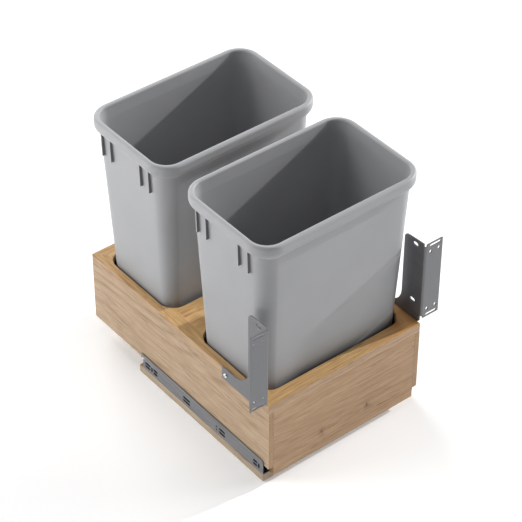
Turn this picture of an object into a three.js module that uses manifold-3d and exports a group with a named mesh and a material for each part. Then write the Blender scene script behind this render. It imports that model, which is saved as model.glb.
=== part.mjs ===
// Pull-out waste cabinet insert: a wooden tray on ball-bearing slides over a base board, two
// lift-out bins in the tray's cut-outs, and a door bracket on each front corner of the tray.
//
// Millimetres, +Z up, +X to the right, -Y towards the user. The origin is on the floor, midway
// across the width and midway along the depth of the tray.

import * as THREE from 'three';
import { mergeVertices } from 'three/addons/utils/BufferGeometryUtils.js';
import Module from 'manifold-3d';

const wasm = await Module();
wasm.setup();

// ---------------------------------------------------------------------------------------------
// Driving dimensions
// ---------------------------------------------------------------------------------------------

// Tray: a wooden box under a thick top board.
const TRAY_WIDTH = 368;
const TRAY_DEPTH = 556;
const TRAY_TOP_Z = 200.5;
const TOP_THICK = 18;
const SIDE_THICK = 12;
const FRONT_THICK = 12;
const BACK_THICK = 12;
const BOTTOM_THICK = 12;
const CUTOUT_CHAMFER = 1.5;

// Base board that is screwed to the cabinet floor.
const BASE_THICK = 17;
const BASE_DEPTH = 390;
const BASE_FRONT_GAP = 1.25;      // behind the tray's front panel
const FRONT_DROP_GAP = 1.5;       // from the base board's top to the front panel's lower edge
const FLOOR_HOLE_D = 3.9;
const FLOOR_HOLE_HEAD_D = 9;
const FLOOR_HOLE_SINK = 3;
const FLOOR_HOLE_INSET_X = 90;
const FLOOR_HOLE_INSET_Y = 40;

// Slide rail: an upright slotted web on a foot.
const RAIL_THICK = 1.5;
const RAIL_GAP = 1;               // from the web to the tray's side panel
const RAIL_HEIGHT = 35.5;
const RAIL_END_GAP = 6;           // from the rail's back end to the base board's back edge
const FOOT_WIDTH = 50;
const HOOK_LENGTH = 6;
const HOOK_STRIP = 1.75;
const HOOK_NOTCH_HEIGHT = 5.5;
const HOOK_NOTCH_GAP = 1;         // above the slide
const HOOK_DROP = 4;

// Ball-bearing slide: three nested channels, each with its own sheet thickness.
const SLIDE_SETBACK = 2;          // behind the base board's front edge, and before the rail's hook
const SLIDE_TOP_GAP = 1.5;        // from the slide to the tray's side panels
const INNER_HEIGHT = 7.5;         // overall height of the smallest channel
const OUTER_SHEET = 1.25;
const MIDDLE_SHEET = 1;
const INNER_SHEET = 1;
const WEB_GAP = 1;                // between the outer and the middle channel's webs
const INNER_LIP_GAP = 1.5;        // between the middle web and the inner channel's flanges
const FLANGE_OVERHANG = 2.5;      // from the cleat back to the middle channel's open side
const CHANNEL_STEP = 1;           // the outer channel is this much shallower than the middle one
const LIP = 1;
const RACE_GAP = 2;
const BALL_D = 1.6;
const CAGE_THICK = 0.75;
const CAGE_WEB = 0.5;
const CAGE_LENGTH = 120;
const CAGE_START = 125;           // from the slide's front end, tray closed
const BALLS_PER_ROW = 4;
const BALL_ALONG_STRIP = 0.6;     // share of the strip's width, from the cage's web

// Cleats that hang the tray on the slides.
const CLEAT_WIDTH = 20;
const CLEAT_GAP = 0.5;            // from the foot screws' heads to the cleat

// Slots through the rail's web, in two rows: the centre's distance from one end, and the length.
const FRONT_SLOTS = [{ at: 23.5, length: 11.5 }, { at: 124.5, length: 17.5 }, { at: 236, length: 21 }];
const BACK_SLOTS = [{ at: 46.5, length: 12 }, { at: 21.5, length: 16.5 }];
const FRONT_ROUND_HOLES = 142;
const FRONT_CROSS_SLOT = 12.5;
const BACK_CROSS_SLOT = 35;
const CROSS_SLOT_LENGTH = 11;
const SLOT_HEIGHT = 2.8;
const SLOT_PITCH = 8.3;           // between the two rows
const SLOT_EDGE = 0.25;           // from the upper row to the fixed channel's flange

// Bins: a tapered tub of rounded-rectangle section with a stepped collar and a rolled rim.
const BIN_RIM_OVERHANG = 5;       // past the tray's side on each side
const BIN_RIM_TOP_Z = 551;
const BIN_RIM_RADIUS = 46;
const BIN_FRONT_MARGIN = 13;      // from the tray's front to the front bin's rim
const BIN_BACK_MARGIN = 10;
const BIN_SPACING = 48;           // between the two rims
const BIN_WALL = 2.8;
const BIN_WALL_TOP_INSET = 11;
const BIN_WALL_BOTTOM_INSET = 32.5;
const BIN_WALL_TOP_RADIUS = 35;
const BIN_WALL_BOTTOM_RADIUS = 24;
const BIN_FLOOR = 7;
const BIN_FLOOR_RADIUS = 6;
const BIN_FOOT_RADIUS = 5;
const BIN_FOOT_RECESS = 4;
const BIN_FOOT_RING = 7;          // width of the flat ring that the bin stands on
const COLLAR_HEIGHT = 31;         // from the rim's top to the plain wall
const COLLAR_STEP = 5;            // height of the slope from the plain wall out to the collar
const COLLAR_WALL = 2.6;
const RIM_BAND = 10.8;            // width of the rim seen from above
const RIM_THICK = 3;
const RIM_OUTER_RADIUS = 4.8;
const RIM_INNER_RADIUS = 2.8;
const SKIRT_HEIGHT = 25;
const SKIRT_WALL = 3.4;
const SKIRT_TURN = 6;             // height and depth of the skirt's turned-in lower edge
const FIN_THICK = 2.8;
const FIN_HEIGHT = 74;            // from the rim's top to the fin's lower end
const FIN_TOP = 14;               // from the rim's top to the fin's upper end, inside the skirt
const FIN_INSET = 2.5;            // from the rim's outline to the fin's free edge
const FIN_OFFSETS = [-73, -46, 46, 73];
const CUTOUT_CLEAR_X = 3.8;
const CUTOUT_CLEAR_Y = 8.5;
const CUTOUT_CLEAR_RADIUS = 5;

// Door brackets: a side plate on the tray's side, bent outwards into a slotted door flange.
const BRACKET_THICK = 2.5;
const BEND_RADIUS = 2;
const FLANGE_WIDTH = 43.5;        // from the tray's side to the flange's outer edge
const FLANGE_LOW = 10.5;          // heights here are above the tray's top
const FLANGE_HIGH = 189.5;
const BEND_RELIEF = 5.5;
const PLATE_LOW = 4;
const PLATE_BACK_TOP = 187;
const PLATE_FRONT_TOP = 191;
const PLATE_DEPTH = 55;
const TAB_LENGTH = 136;
const TAB_TOP = 5;
const TAB_BOTTOM = -24;
const TAB_FILLET = 42;
const TAB_SLOPE_END = 32;
const PLATE_CORNER = 8;
const BEND_LEG = 1;               // straight part of the bend that runs into each plate
const SIDE_SLOT = { length: 16, width: 6.5, y: 26, low: 43.5, high: 178 };
const FLANGE_SLOT = { length: 27.5, width: 6, x: 25.25, edge: 5.5 };
const FLANGE_OVAL = { width: 6, height: 8, xs: [14, 34.75], edge: 20 };

// Screws: head diameter and height, shank diameter and length.
const FOOT_SCREW = { headD: 8, headH: 2.5, shankD: 4, length: 11, slot: 4.4 };
const CLEAT_SCREW_GAP = 0.45;     // from the head to the channel's flanges
const CLEAT_SCREW_D = INNER_HEIGHT - 2 * (INNER_SHEET + CLEAT_SCREW_GAP);
const CLEAT_SCREW = { headD: CLEAT_SCREW_D, headH: 1.4, shankD: 2.8, length: 12, slot: 2.6 };
const BRACKET_SCREW = { headD: 9.5, headH: 3.2, shankD: 4, length: 12, slot: 5.2 };
const SCREW_CLEARANCE = 0.3;
const PLATE_HOLE_CLEARANCE = 0.5;
const PLATE_SCREW_Y = [38, 124.5];
const PLATE_SCREW_BELOW_TOP = 10.75;
const FOOT_SCREW_INSET = 8;       // from the foot's inner edge
const FOOT_SCREW_MARGIN = 30;     // from the rail's ends
const CLEAT_SCREW_MARGIN = 40;    // from the slide's ends

// Shares of a screw's own sizes.
const HEAD_EDGE = 0.3;            // of the head's height: the straight edge under its dome
const POINT_LENGTH = 0.8;         // of the shank's diameter
const RECESS_FLOOR = 0.45;        // of the head's height
const RECESS_WIDTH = 0.22;        // of the recess's length

const CORNER_STEPS = 6;
const ROUND_STEPS = 3;
const SLOT_STEPS = 3;
const SCREW_STEPS = 12;
const PAST = 1;                   // how far a cutter runs past the face that it cuts

// ---------------------------------------------------------------------------------------------
// Sizes worked out from the driving dimensions
// ---------------------------------------------------------------------------------------------

const FRONT_Y = -TRAY_DEPTH / 2;
const SIDE_X = -TRAY_WIDTH / 2;                         // left side, outer face
const SIDE_INNER_X = SIDE_X + SIDE_THICK;
const TOP_BOTTOM_Z = TRAY_TOP_Z - TOP_THICK;
const BASE_FRONT_Y = FRONT_Y + FRONT_THICK + BASE_FRONT_GAP;
const WEB_INNER_X = SIDE_X - RAIL_GAP;
const WEB_OUTER_X = WEB_INNER_X - RAIL_THICK;
const BASE_WIDTH = -2 * WEB_OUTER_X;
const FOOT_TOP_Z = BASE_THICK + RAIL_THICK;
const FOOT_INNER_X = WEB_OUTER_X + FOOT_WIDTH;
const FOOT_SCREW_X = FOOT_INNER_X - FOOT_SCREW_INSET;
const RAIL_LENGTH = BASE_DEPTH - RAIL_END_GAP;
const RAIL_BACK_Y = BASE_FRONT_Y + RAIL_LENGTH;
const SLIDE_FRONT_Y = BASE_FRONT_Y + SLIDE_SETBACK;
const SLIDE_BACK_Y = RAIL_BACK_Y - HOOK_LENGTH - SLIDE_SETBACK;
const MIDDLE_HEIGHT = INNER_HEIGHT + 2 * (RACE_GAP + MIDDLE_SHEET);
const SLIDE_HEIGHT = MIDDLE_HEIGHT + 2 * (RACE_GAP + OUTER_SHEET);
const SLIDE_MID_Z = FOOT_TOP_Z + SLIDE_HEIGHT / 2;
const MIDDLE_WEB_X = WEB_INNER_X + OUTER_SHEET + WEB_GAP;
const MIDDLE_TIP_X = SIDE_INNER_X - FLANGE_OVERHANG;
const INNER_TIP_X = MIDDLE_WEB_X + MIDDLE_SHEET + INNER_LIP_GAP;
const SIDE_BOTTOM_Z = FOOT_TOP_Z + SLIDE_HEIGHT + SLIDE_TOP_GAP;
const CLEAT_BOTTOM_Z = FOOT_TOP_Z + FOOT_SCREW.headH + CLEAT_GAP;
const SLOT_HIGH_Z = FOOT_TOP_Z + SLIDE_HEIGHT - OUTER_SHEET - SLOT_EDGE - SLOT_HEIGHT / 2;
const SLOT_LOW_Z = SLOT_HIGH_Z - SLOT_PITCH;
const BIN_FLOOR_Z = SIDE_BOTTOM_Z + BOTTOM_THICK;
const BIN_HEIGHT = BIN_RIM_TOP_Z - BIN_FLOOR_Z;
const BIN_RIM_X = TRAY_WIDTH + 2 * BIN_RIM_OVERHANG;
const BIN_RIM_Y = (TRAY_DEPTH - BIN_FRONT_MARGIN - BIN_BACK_MARGIN - BIN_SPACING) / 2;
const BIN_YS = [0, 1].map((i) => FRONT_Y + BIN_FRONT_MARGIN + BIN_RIM_Y * (i + 0.5) + BIN_SPACING * i);
const FOOT_SCREW_YS = [0, 0.5, 1].map(
  (t) => BASE_FRONT_Y + FOOT_SCREW_MARGIN + t * (RAIL_LENGTH - 2 * FOOT_SCREW_MARGIN));
const CLEAT_SCREW_YS = [SLIDE_FRONT_Y + CLEAT_SCREW_MARGIN, SLIDE_BACK_Y - CLEAT_SCREW_MARGIN];

const wallTaper = (z) => (BIN_HEIGHT - COLLAR_HEIGHT - z) / (BIN_HEIGHT - COLLAR_HEIGHT);
const wallInset = (z) => THREE.MathUtils.lerp(BIN_WALL_TOP_INSET, BIN_WALL_BOTTOM_INSET, wallTaper(z));
const wallRadius = (z) => THREE.MathUtils.lerp(BIN_WALL_TOP_RADIUS, BIN_WALL_BOTTOM_RADIUS, wallTaper(z));

// ---------------------------------------------------------------------------------------------
// Colours
// ---------------------------------------------------------------------------------------------

const wood = new THREE.MeshStandardMaterial({ color: '#c9a67c', roughness: 0.6, metalness: 0 });
const woodTop = new THREE.MeshStandardMaterial({ color: '#c79f68', roughness: 0.55, metalness: 0 });
const steel = new THREE.MeshStandardMaterial({ color: '#888a90', roughness: 0.45, metalness: 0.8 });
const zinc = new THREE.MeshStandardMaterial({ color: '#a2a4a8', roughness: 0.35, metalness: 0.9 });
const brightZinc = new THREE.MeshStandardMaterial({ color: '#d0d1d3', roughness: 0.25, metalness: 0.9 });
const cagePlastic = new THREE.MeshStandardMaterial({ color: '#5b5d60', roughness: 0.6, metalness: 0.2 });
const binPlastic = new THREE.MeshStandardMaterial({ color: '#a8a9ab', roughness: 0.5, metalness: 0 });

// ---------------------------------------------------------------------------------------------
// Solids
// ---------------------------------------------------------------------------------------------

/** Closed mesh to a solid that can be joined and cut. */
function solid(geometry) {
  const bare = geometry.clone();
  bare.deleteAttribute('normal');
  bare.deleteAttribute('uv');
  const merged = mergeVertices(bare, 1e-5);
  const mesh = new wasm.Mesh({
    numProp: 3,
    vertProperties: new Float32Array(merged.attributes.position.array),
    triVerts: new Uint32Array(merged.index.array),
  });
  return new wasm.Manifold(mesh);
}

/** Solid back to a geometry. */
function geometryOf(manifold) {
  const mesh = manifold.getMesh();
  const geometry = new THREE.BufferGeometry();
  geometry.setAttribute('position', new THREE.BufferAttribute(new Float32Array(mesh.vertProperties), 3));
  geometry.setIndex(new THREE.BufferAttribute(new Uint32Array(mesh.triVerts), 1));
  geometry.computeVertexNormals();
  return geometry;
}

/** One geometry cut by others. */
function cut(geometry, cutters) {
  return geometryOf(cutters.reduce((body, cutter) => body.subtract(solid(cutter)), solid(geometry)));
}

/** Several geometries joined into one. */
function join(geometries) {
  return geometryOf(geometries.map(solid).reduce((body, other) => body.add(other)));
}

/** Box between two corners. */
function box(low, high) {
  const size = high.map((value, i) => value - low[i]);
  const geometry = new THREE.BoxGeometry(...size);
  return geometry.translate(...low.map((value, i) => value + size[i] / 2));
}

/** Round bar along an axis, between two places on it. */
function bar(axis, diameter, from, to, centre) {
  const geometry = new THREE.CylinderGeometry(diameter / 2, diameter / 2, to - from, SCREW_STEPS);
  if (axis === 'x') geometry.rotateZ(-Math.PI / 2);
  if (axis === 'z') geometry.rotateX(Math.PI / 2);
  const place = { x: [(from + to) / 2, centre[0], centre[1]], y: [centre[0], (from + to) / 2, centre[1]],
    z: [centre[0], centre[1], (from + to) / 2] }[axis];
  return geometry.translate(...place);
}

/** Outline in the XY plane, made solid upwards from z = 0. */
function slab(shape, depth, steps) {
  return new THREE.ExtrudeGeometry(shape, { depth, bevelEnabled: false, curveSegments: steps });
}

/** Outline in the YZ plane, made solid from x = from to x = to. */
function alongX(shape, from, to, steps = SLOT_STEPS) {
  const turn = new THREE.Matrix4().set(0, 0, 1, from, 1, 0, 0, 0, 0, 1, 0, 0, 0, 0, 0, 1);
  return slab(shape, to - from, steps).applyMatrix4(turn);
}

/** Outline in the XZ plane, made solid from y = from to y = to. */
function alongY(shape, from, to, steps = SLOT_STEPS) {
  const turn = new THREE.Matrix4().set(1, 0, 0, 0, 0, 0, -1, to, 0, 1, 0, 0, 0, 0, 0, 1);
  return slab(shape, to - from, steps).applyMatrix4(turn);
}

/** The same piece for the other side of the object. */
function mirrored(geometry) {
  const flipped = mergeVertices(geometry.clone().scale(-1, 1, 1));
  const faces = flipped.index.array;
  for (let i = 0; i < faces.length; i += 3) [faces[i], faces[i + 1]] = [faces[i + 1], faces[i]];
  flipped.computeVertexNormals();
  return flipped;
}

/** Cosine and sine at the steps of a quarter turn. */
function quarterTurn(steps) {
  return Array.from({ length: steps + 1 }, (_, i) => {
    const angle = (i / steps) * Math.PI / 2;
    return [Math.cos(angle), Math.sin(angle)];
  });
}

/** Closed outline through points. */
function outline(points) {
  return new THREE.Shape(points.map(([a, b]) => new THREE.Vector2(a, b)));
}

/** Slot with round ends: centre, length and width, long along the first axis or the second. */
function slotShape(a, b, length, width, upright = false) {
  const radius = width / 2;
  const half = (length - width) / 2;
  const shape = new THREE.Shape();
  if (upright) {
    shape.absarc(a, b + half, radius, 0, Math.PI);
    shape.absarc(a, b - half, radius, Math.PI, 2 * Math.PI);
  } else {
    shape.absarc(a + half, b, radius, -Math.PI / 2, Math.PI / 2);
    shape.absarc(a - half, b, radius, Math.PI / 2, 1.5 * Math.PI);
  }
  shape.closePath();
  return shape;
}

/** Points of one rounded-rectangle ring at a height. */
function ring(sizeX, sizeY, radius, z) {
  const corners = [[1, 1, 0], [-1, 1, 1], [-1, -1, 2], [1, -1, 3]];
  return corners.flatMap(([sx, sy, quarter]) => Array.from({ length: CORNER_STEPS + 1 }, (_, i) => {
    const angle = (quarter + i / CORNER_STEPS) * Math.PI / 2;
    const x = sx * (sizeX / 2 - radius) + radius * Math.cos(angle);
    const y = sy * (sizeY / 2 - radius) + radius * Math.sin(angle);
    return [x, y, z];
  }));
}

/** Skin through rings, in order from the outside below to the last ring, with a flat cap on each end. */
function loft(rings) {
  const count = rings[0].length;
  const positions = [[0, 0, rings[0][0][2]], ...rings.flat(), [0, 0, rings.at(-1)[0][2]]];
  const last = positions.length - 1;
  const faces = [];
  for (let i = 0; i < count; i += 1) {
    const next = (i + 1) % count;
    faces.push(0, 1 + next, 1 + i);
    for (let r = 0; r < rings.length - 1; r += 1) {
      const low = 1 + r * count;
      const high = low + count;
      faces.push(low + i, low + next, high + next, low + i, high + next, high + i);
    }
    const top = 1 + (rings.length - 1) * count;
    faces.push(last, top + i, top + next);
  }
  const geometry = new THREE.BufferGeometry();
  geometry.setAttribute('position', new THREE.Float32BufferAttribute(positions.flat(), 3));
  geometry.setIndex(faces);
  geometry.computeVertexNormals();
  return geometry;
}

/** Pan-head screw with a cross recess; the head's seat is at the origin and the shank points to -Z. */
function screw({ headD, headH, shankD, length, slot }) {
  const radius = shankD / 2;
  const edge = HEAD_EDGE * headH;
  const dome = quarterTurn(ROUND_STEPS).map(([c, s]) => [c * headD / 2, edge + (headH - edge) * s]);
  dome.at(-1)[0] = 0;
  const shank = [[0, -length], [radius, -length + POINT_LENGTH * shankD], [radius, 0]];
  const profile = [...shank, [headD / 2, 0], ...dome];
  const body = new THREE.LatheGeometry(profile.map(([x, y]) => new THREE.Vector2(x, y)), SCREW_STEPS);
  body.rotateX(Math.PI / 2);
  const half = slot / 2;
  const width = RECESS_WIDTH * half;
  const floor = RECESS_FLOOR * headH;
  return cut(body, [box([-half, -width, floor], [half, width, 2 * headH]),
    box([-width, -half, floor], [width, half, 2 * headH])]);
}

/** Adds a named piece to a group, at a place and a turn. */
function add(group, name, geometry, material, position = [0, 0, 0], rotation = [0, 0, 0]) {
  const mesh = new THREE.Mesh(geometry, material);
  mesh.name = name;
  mesh.position.set(...position);
  mesh.rotation.set(...rotation);
  group.add(mesh);
}

/** Adds a piece modelled for the left side, and its mirror image for the right side. */
function addPair(group, name, geometry, material) {
  add(group, `${name}_left`, geometry, material);
  add(group, `${name}_right`, mirrored(geometry), material);
}

// ---------------------------------------------------------------------------------------------
// Base board
// ---------------------------------------------------------------------------------------------

function baseBoard() {
  const half = BASE_WIDTH / 2;
  const backY = BASE_FRONT_Y + BASE_DEPTH;
  const board = box([-half, BASE_FRONT_Y, 0], [half, backY, BASE_THICK]);
  const headRadius = FLOOR_HOLE_HEAD_D / 2;
  const floorHoles = [-1, 1].flatMap((side) => [BASE_FRONT_Y + FLOOR_HOLE_INSET_Y, backY - FLOOR_HOLE_INSET_Y]
    .flatMap((y) => {
      const x = side * (half - FLOOR_HOLE_INSET_X);
      const sink = new THREE.CylinderGeometry(headRadius, FLOOR_HOLE_D / 2, FLOOR_HOLE_SINK, SCREW_STEPS);
      sink.rotateX(Math.PI / 2).translate(x, y, BASE_THICK - FLOOR_HOLE_SINK / 2);
      const lid = bar('z', FLOOR_HOLE_HEAD_D, BASE_THICK, BASE_THICK + PAST, [x, y]);
      return [bar('z', FLOOR_HOLE_D, -PAST, BASE_THICK, [x, y]), sink, lid];
    }));
  const pilotD = FOOT_SCREW.shankD + 2 * SCREW_CLEARANCE;
  const pilotDepth = FOOT_SCREW.length - RAIL_THICK + 2 * SCREW_CLEARANCE;
  const pilots = [-1, 1].flatMap((side) => FOOT_SCREW_YS.map(
    (y) => bar('z', pilotD, BASE_THICK - pilotDepth, BASE_THICK + PAST, [side * FOOT_SCREW_X, y])));
  return cut(board, [...floorHoles, ...pilots]);
}

// ---------------------------------------------------------------------------------------------
// Slide rail and the three channels that run in it (left side)
// ---------------------------------------------------------------------------------------------

/** Slot cutters along X for the rail's web and the fixed channel's web. */
function slotCutters(fromX, toX) {
  const rows = [SLOT_LOW_Z, SLOT_HIGH_Z];
  const middle = (SLOT_LOW_Z + SLOT_HIGH_Z) / 2;
  const slots = [
    ...FRONT_SLOTS.map(({ at, length }) => [BASE_FRONT_Y + at, length]),
    ...BACK_SLOTS.map(({ at, length }) => [RAIL_BACK_Y - at, length]),
  ];
  const shapes = slots.flatMap(([y, length]) => rows.map((z) => slotShape(y, z, length, SLOT_HEIGHT)));
  const crossSlots = [BASE_FRONT_Y + FRONT_CROSS_SLOT, RAIL_BACK_Y - BACK_CROSS_SLOT].map(
    (y) => slotShape(y, middle, CROSS_SLOT_LENGTH, SLOT_HEIGHT, true));
  const holes = rows.map((z) => bar('x', SLOT_HEIGHT, fromX, toX, [BASE_FRONT_Y + FRONT_ROUND_HOLES, z]));
  return [...[...shapes, ...crossSlots].map((shape) => alongX(shape, fromX, toX)), ...holes];
}

/** Upright web with a hook at its back end, on a foot that lies on the base board. */
function rail() {
  const top = BASE_THICK + RAIL_HEIGHT;
  const notchBottom = FOOT_TOP_Z + SLIDE_HEIGHT + HOOK_NOTCH_GAP;
  const notchTop = notchBottom + HOOK_NOTCH_HEIGHT;
  const hookFront = RAIL_BACK_Y - HOOK_STRIP;
  const lowerBack = RAIL_BACK_Y - HOOK_LENGTH;
  const notchFront = lowerBack - HOOK_DROP;
  const web = alongX(outline([
    [BASE_FRONT_Y, BASE_THICK], [lowerBack, BASE_THICK], [lowerBack, notchBottom], [notchFront, notchBottom],
    [notchFront, notchTop], [hookFront, notchTop], [hookFront, notchTop - HOOK_DROP],
    [RAIL_BACK_Y, notchTop - HOOK_DROP], [RAIL_BACK_Y, top], [BASE_FRONT_Y, top],
  ]), WEB_OUTER_X, WEB_INNER_X);
  const foot = box([WEB_OUTER_X, BASE_FRONT_Y, BASE_THICK], [FOOT_INNER_X, lowerBack, FOOT_TOP_Z]);
  const holeD = FOOT_SCREW.shankD + 2 * PLATE_HOLE_CLEARANCE;
  const holes = FOOT_SCREW_YS.map(
    (y) => bar('z', holeD, BASE_THICK - PAST, FOOT_TOP_Z + PAST, [FOOT_SCREW_X, y]));
  return cut(join([web, foot]), [...slotCutters(WEB_OUTER_X - PAST, WEB_INNER_X + PAST), ...holes]);
}

/** Channel section: a web, two flanges and a lip on each flange. open is +1 towards +X. */
function channel(webX, tipX, height, sheet) {
  const open = Math.sign(tipX - webX);
  const half = height / 2;
  const inner = half - sheet;
  const lipX = tipX - open * LIP;
  const faceX = webX + open * sheet;
  const points = [[webX, -half], [tipX, -half], [tipX, -inner + LIP], [lipX, -inner + LIP], [lipX, -inner],
    [faceX, -inner], [faceX, inner], [lipX, inner], [lipX, inner - LIP], [tipX, inner - LIP],
    [tipX, half], [webX, half]];
  const shape = outline(open > 0 ? points : points.reverse());
  return alongY(shape, SLIDE_FRONT_Y, SLIDE_BACK_Y).translate(0, 0, SLIDE_MID_Z);
}

/** Channel that is fixed to the rail's web, with the same slots. */
function cabinetMember() {
  const body = channel(WEB_INNER_X, MIDDLE_TIP_X - CHANNEL_STEP, SLIDE_HEIGHT, OUTER_SHEET);
  return cut(body, slotCutters(WEB_INNER_X - PAST, WEB_INNER_X + OUTER_SHEET + WEB_GAP / 2));
}

function middleMember() {
  return channel(MIDDLE_WEB_X, MIDDLE_TIP_X, MIDDLE_HEIGHT, MIDDLE_SHEET);
}

/** Channel that is screwed to the cleat; its plain flanges point back to the rail's web. */
function drawerMember() {
  const half = INNER_HEIGHT / 2;
  const inner = half - INNER_SHEET;
  const webX = SIDE_INNER_X - INNER_SHEET;
  const shape = outline([[INNER_TIP_X, -half], [SIDE_INNER_X, -half], [SIDE_INNER_X, half],
    [INNER_TIP_X, half], [INNER_TIP_X, inner], [webX, inner], [webX, -inner], [INNER_TIP_X, -inner]]);
  const body = alongY(shape, SLIDE_FRONT_Y, SLIDE_BACK_Y).translate(0, 0, SLIDE_MID_Z);
  const holeD = CLEAT_SCREW.shankD + 2 * SCREW_CLEARANCE;
  return cut(body, CLEAT_SCREW_YS.map(
    (y) => bar('x', holeD, webX - PAST, SIDE_INNER_X + PAST, [y, SLIDE_MID_Z])));
}

/** Ball cage between two channels: a thin web, two strips, and a row of balls in each strip. */
function ballCage(webX, tipX, outerHeight) {
  const mid = outerHeight / 2 - RACE_GAP / 2;
  const high = mid + CAGE_THICK / 2;
  const low = mid - CAGE_THICK / 2;
  const section = outline([[webX, -high], [tipX, -high], [tipX, -low], [webX + CAGE_WEB, -low],
    [webX + CAGE_WEB, low], [tipX, low], [tipX, high], [webX, high]]);
  const start = SLIDE_FRONT_Y + CAGE_START;
  const strip = alongY(section, start, start + CAGE_LENGTH);
  const pitch = CAGE_LENGTH / BALLS_PER_ROW;
  const ballX = THREE.MathUtils.lerp(webX + CAGE_WEB, tipX, BALL_ALONG_STRIP);
  const ball = new THREE.SphereGeometry(BALL_D / 2, 6, 4);
  const balls = Array.from({ length: BALLS_PER_ROW }, (_, i) => start + pitch * (i + 0.5))
    .flatMap((y) => [-mid, mid].map((z) => ball.clone().translate(ballX, y, z)));
  return join([strip, ...balls]).translate(0, 0, SLIDE_MID_Z);
}

function outerCage() {
  const webX = WEB_INNER_X + OUTER_SHEET + (WEB_GAP - CAGE_WEB) / 2;
  return ballCage(webX, MIDDLE_TIP_X - CHANNEL_STEP - LIP - CAGE_WEB, SLIDE_HEIGHT - 2 * OUTER_SHEET);
}

function innerCage() {
  const webX = MIDDLE_WEB_X + MIDDLE_SHEET + (INNER_LIP_GAP - CAGE_WEB) / 2;
  return ballCage(webX, MIDDLE_TIP_X - LIP - CAGE_WEB, MIDDLE_HEIGHT - 2 * MIDDLE_SHEET);
}

// ---------------------------------------------------------------------------------------------
// Tray
// ---------------------------------------------------------------------------------------------

/** Wooden cleat under the tray's bottom, beside the slide. */
function cleat() {
  const body = box([SIDE_INNER_X, SLIDE_FRONT_Y, CLEAT_BOTTOM_Z],
    [SIDE_INNER_X + CLEAT_WIDTH, SLIDE_BACK_Y, SIDE_BOTTOM_Z]);
  const pilotD = CLEAT_SCREW.shankD + 2 * SCREW_CLEARANCE;
  const pilotEnd = SIDE_INNER_X - INNER_SHEET + CLEAT_SCREW.length + SCREW_CLEARANCE;
  return cut(body, CLEAT_SCREW_YS.map(
    (y) => bar('x', pilotD, SIDE_INNER_X - PAST, pilotEnd, [y, SLIDE_MID_Z])));
}

function traySide() {
  return box([SIDE_X, FRONT_Y, SIDE_BOTTOM_Z], [SIDE_INNER_X, FRONT_Y + TRAY_DEPTH, TOP_BOTTOM_Z]);
}

function trayFront() {
  return box([SIDE_INNER_X, FRONT_Y, BASE_THICK + FRONT_DROP_GAP],
    [-SIDE_INNER_X, FRONT_Y + FRONT_THICK, TOP_BOTTOM_Z]);
}

function trayBack() {
  const back = FRONT_Y + TRAY_DEPTH;
  return box([SIDE_INNER_X, back - BACK_THICK, SIDE_BOTTOM_Z], [-SIDE_INNER_X, back, TOP_BOTTOM_Z]);
}

function trayBottom() {
  return box([SIDE_INNER_X, FRONT_Y + FRONT_THICK, SIDE_BOTTOM_Z],
    [-SIDE_INNER_X, FRONT_Y + TRAY_DEPTH - BACK_THICK, BIN_FLOOR_Z]);
}

/** Top board with a chamfered cut-out round each bin, and pilot holes for the bracket screws. */
function trayTop() {
  const board = box([SIDE_X, FRONT_Y, TOP_BOTTOM_Z], [-SIDE_X, FRONT_Y + TRAY_DEPTH, TRAY_TOP_Z]);
  const level = TRAY_TOP_Z - BIN_FLOOR_Z;
  const sizeX = BIN_RIM_X - 2 * wallInset(level) + 2 * CUTOUT_CLEAR_X;
  const sizeY = BIN_RIM_Y - 2 * wallInset(level) + 2 * CUTOUT_CLEAR_Y;
  const radius = wallRadius(level) + CUTOUT_CLEAR_RADIUS;
  const wide = CUTOUT_CHAMFER;
  const cutouts = BIN_YS.map((y) => loft([
    ring(sizeX, sizeY, radius, TOP_BOTTOM_Z - PAST),
    ring(sizeX, sizeY, radius, TRAY_TOP_Z - wide),
    ring(sizeX + 2 * wide, sizeY + 2 * wide, radius + wide, TRAY_TOP_Z),
    ring(sizeX + 2 * wide, sizeY + 2 * wide, radius + wide, TRAY_TOP_Z + PAST),
  ]).translate(0, y, 0));
  const pilotD = BRACKET_SCREW.shankD + 2 * SCREW_CLEARANCE;
  const depth = BRACKET_SCREW.length - BRACKET_THICK + SCREW_CLEARANCE;
  const z = TRAY_TOP_Z - PLATE_SCREW_BELOW_TOP;
  const pilots = PLATE_SCREW_Y.flatMap((y) => [
    bar('x', pilotD, SIDE_X - PAST, SIDE_X + depth, [FRONT_Y + y, z]),
    bar('x', pilotD, -SIDE_X - depth, -SIDE_X + PAST, [FRONT_Y + y, z]),
  ]);
  return cut(board, [...cutouts, ...pilots]);
}

// ---------------------------------------------------------------------------------------------
// Door bracket (left side)
// ---------------------------------------------------------------------------------------------

/** Side plate in the YZ plane: a tall front part, and a low tab that runs back along the tray. */
function platePlan() {
  const shape = new THREE.Shape();
  const front = BRACKET_THICK + BEND_RADIUS;
  const filletY = PLATE_DEPTH + TAB_FILLET;
  const filletZ = TAB_TOP + TAB_FILLET;
  shape.moveTo(front, PLATE_LOW);
  shape.lineTo(TAB_SLOPE_END, TAB_BOTTOM);
  shape.lineTo(TAB_LENGTH, TAB_BOTTOM);
  shape.lineTo(TAB_LENGTH, TAB_TOP);
  shape.lineTo(filletY, TAB_TOP);
  shape.absarc(filletY, filletZ, TAB_FILLET, -Math.PI / 2, -Math.PI, true);
  shape.lineTo(PLATE_DEPTH, PLATE_BACK_TOP - PLATE_CORNER);
  shape.absarc(PLATE_DEPTH - PLATE_CORNER, PLATE_BACK_TOP - PLATE_CORNER, PLATE_CORNER, 0, Math.PI / 2);
  shape.lineTo(front, PLATE_FRONT_TOP);
  shape.closePath();
  return shape;
}

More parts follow.
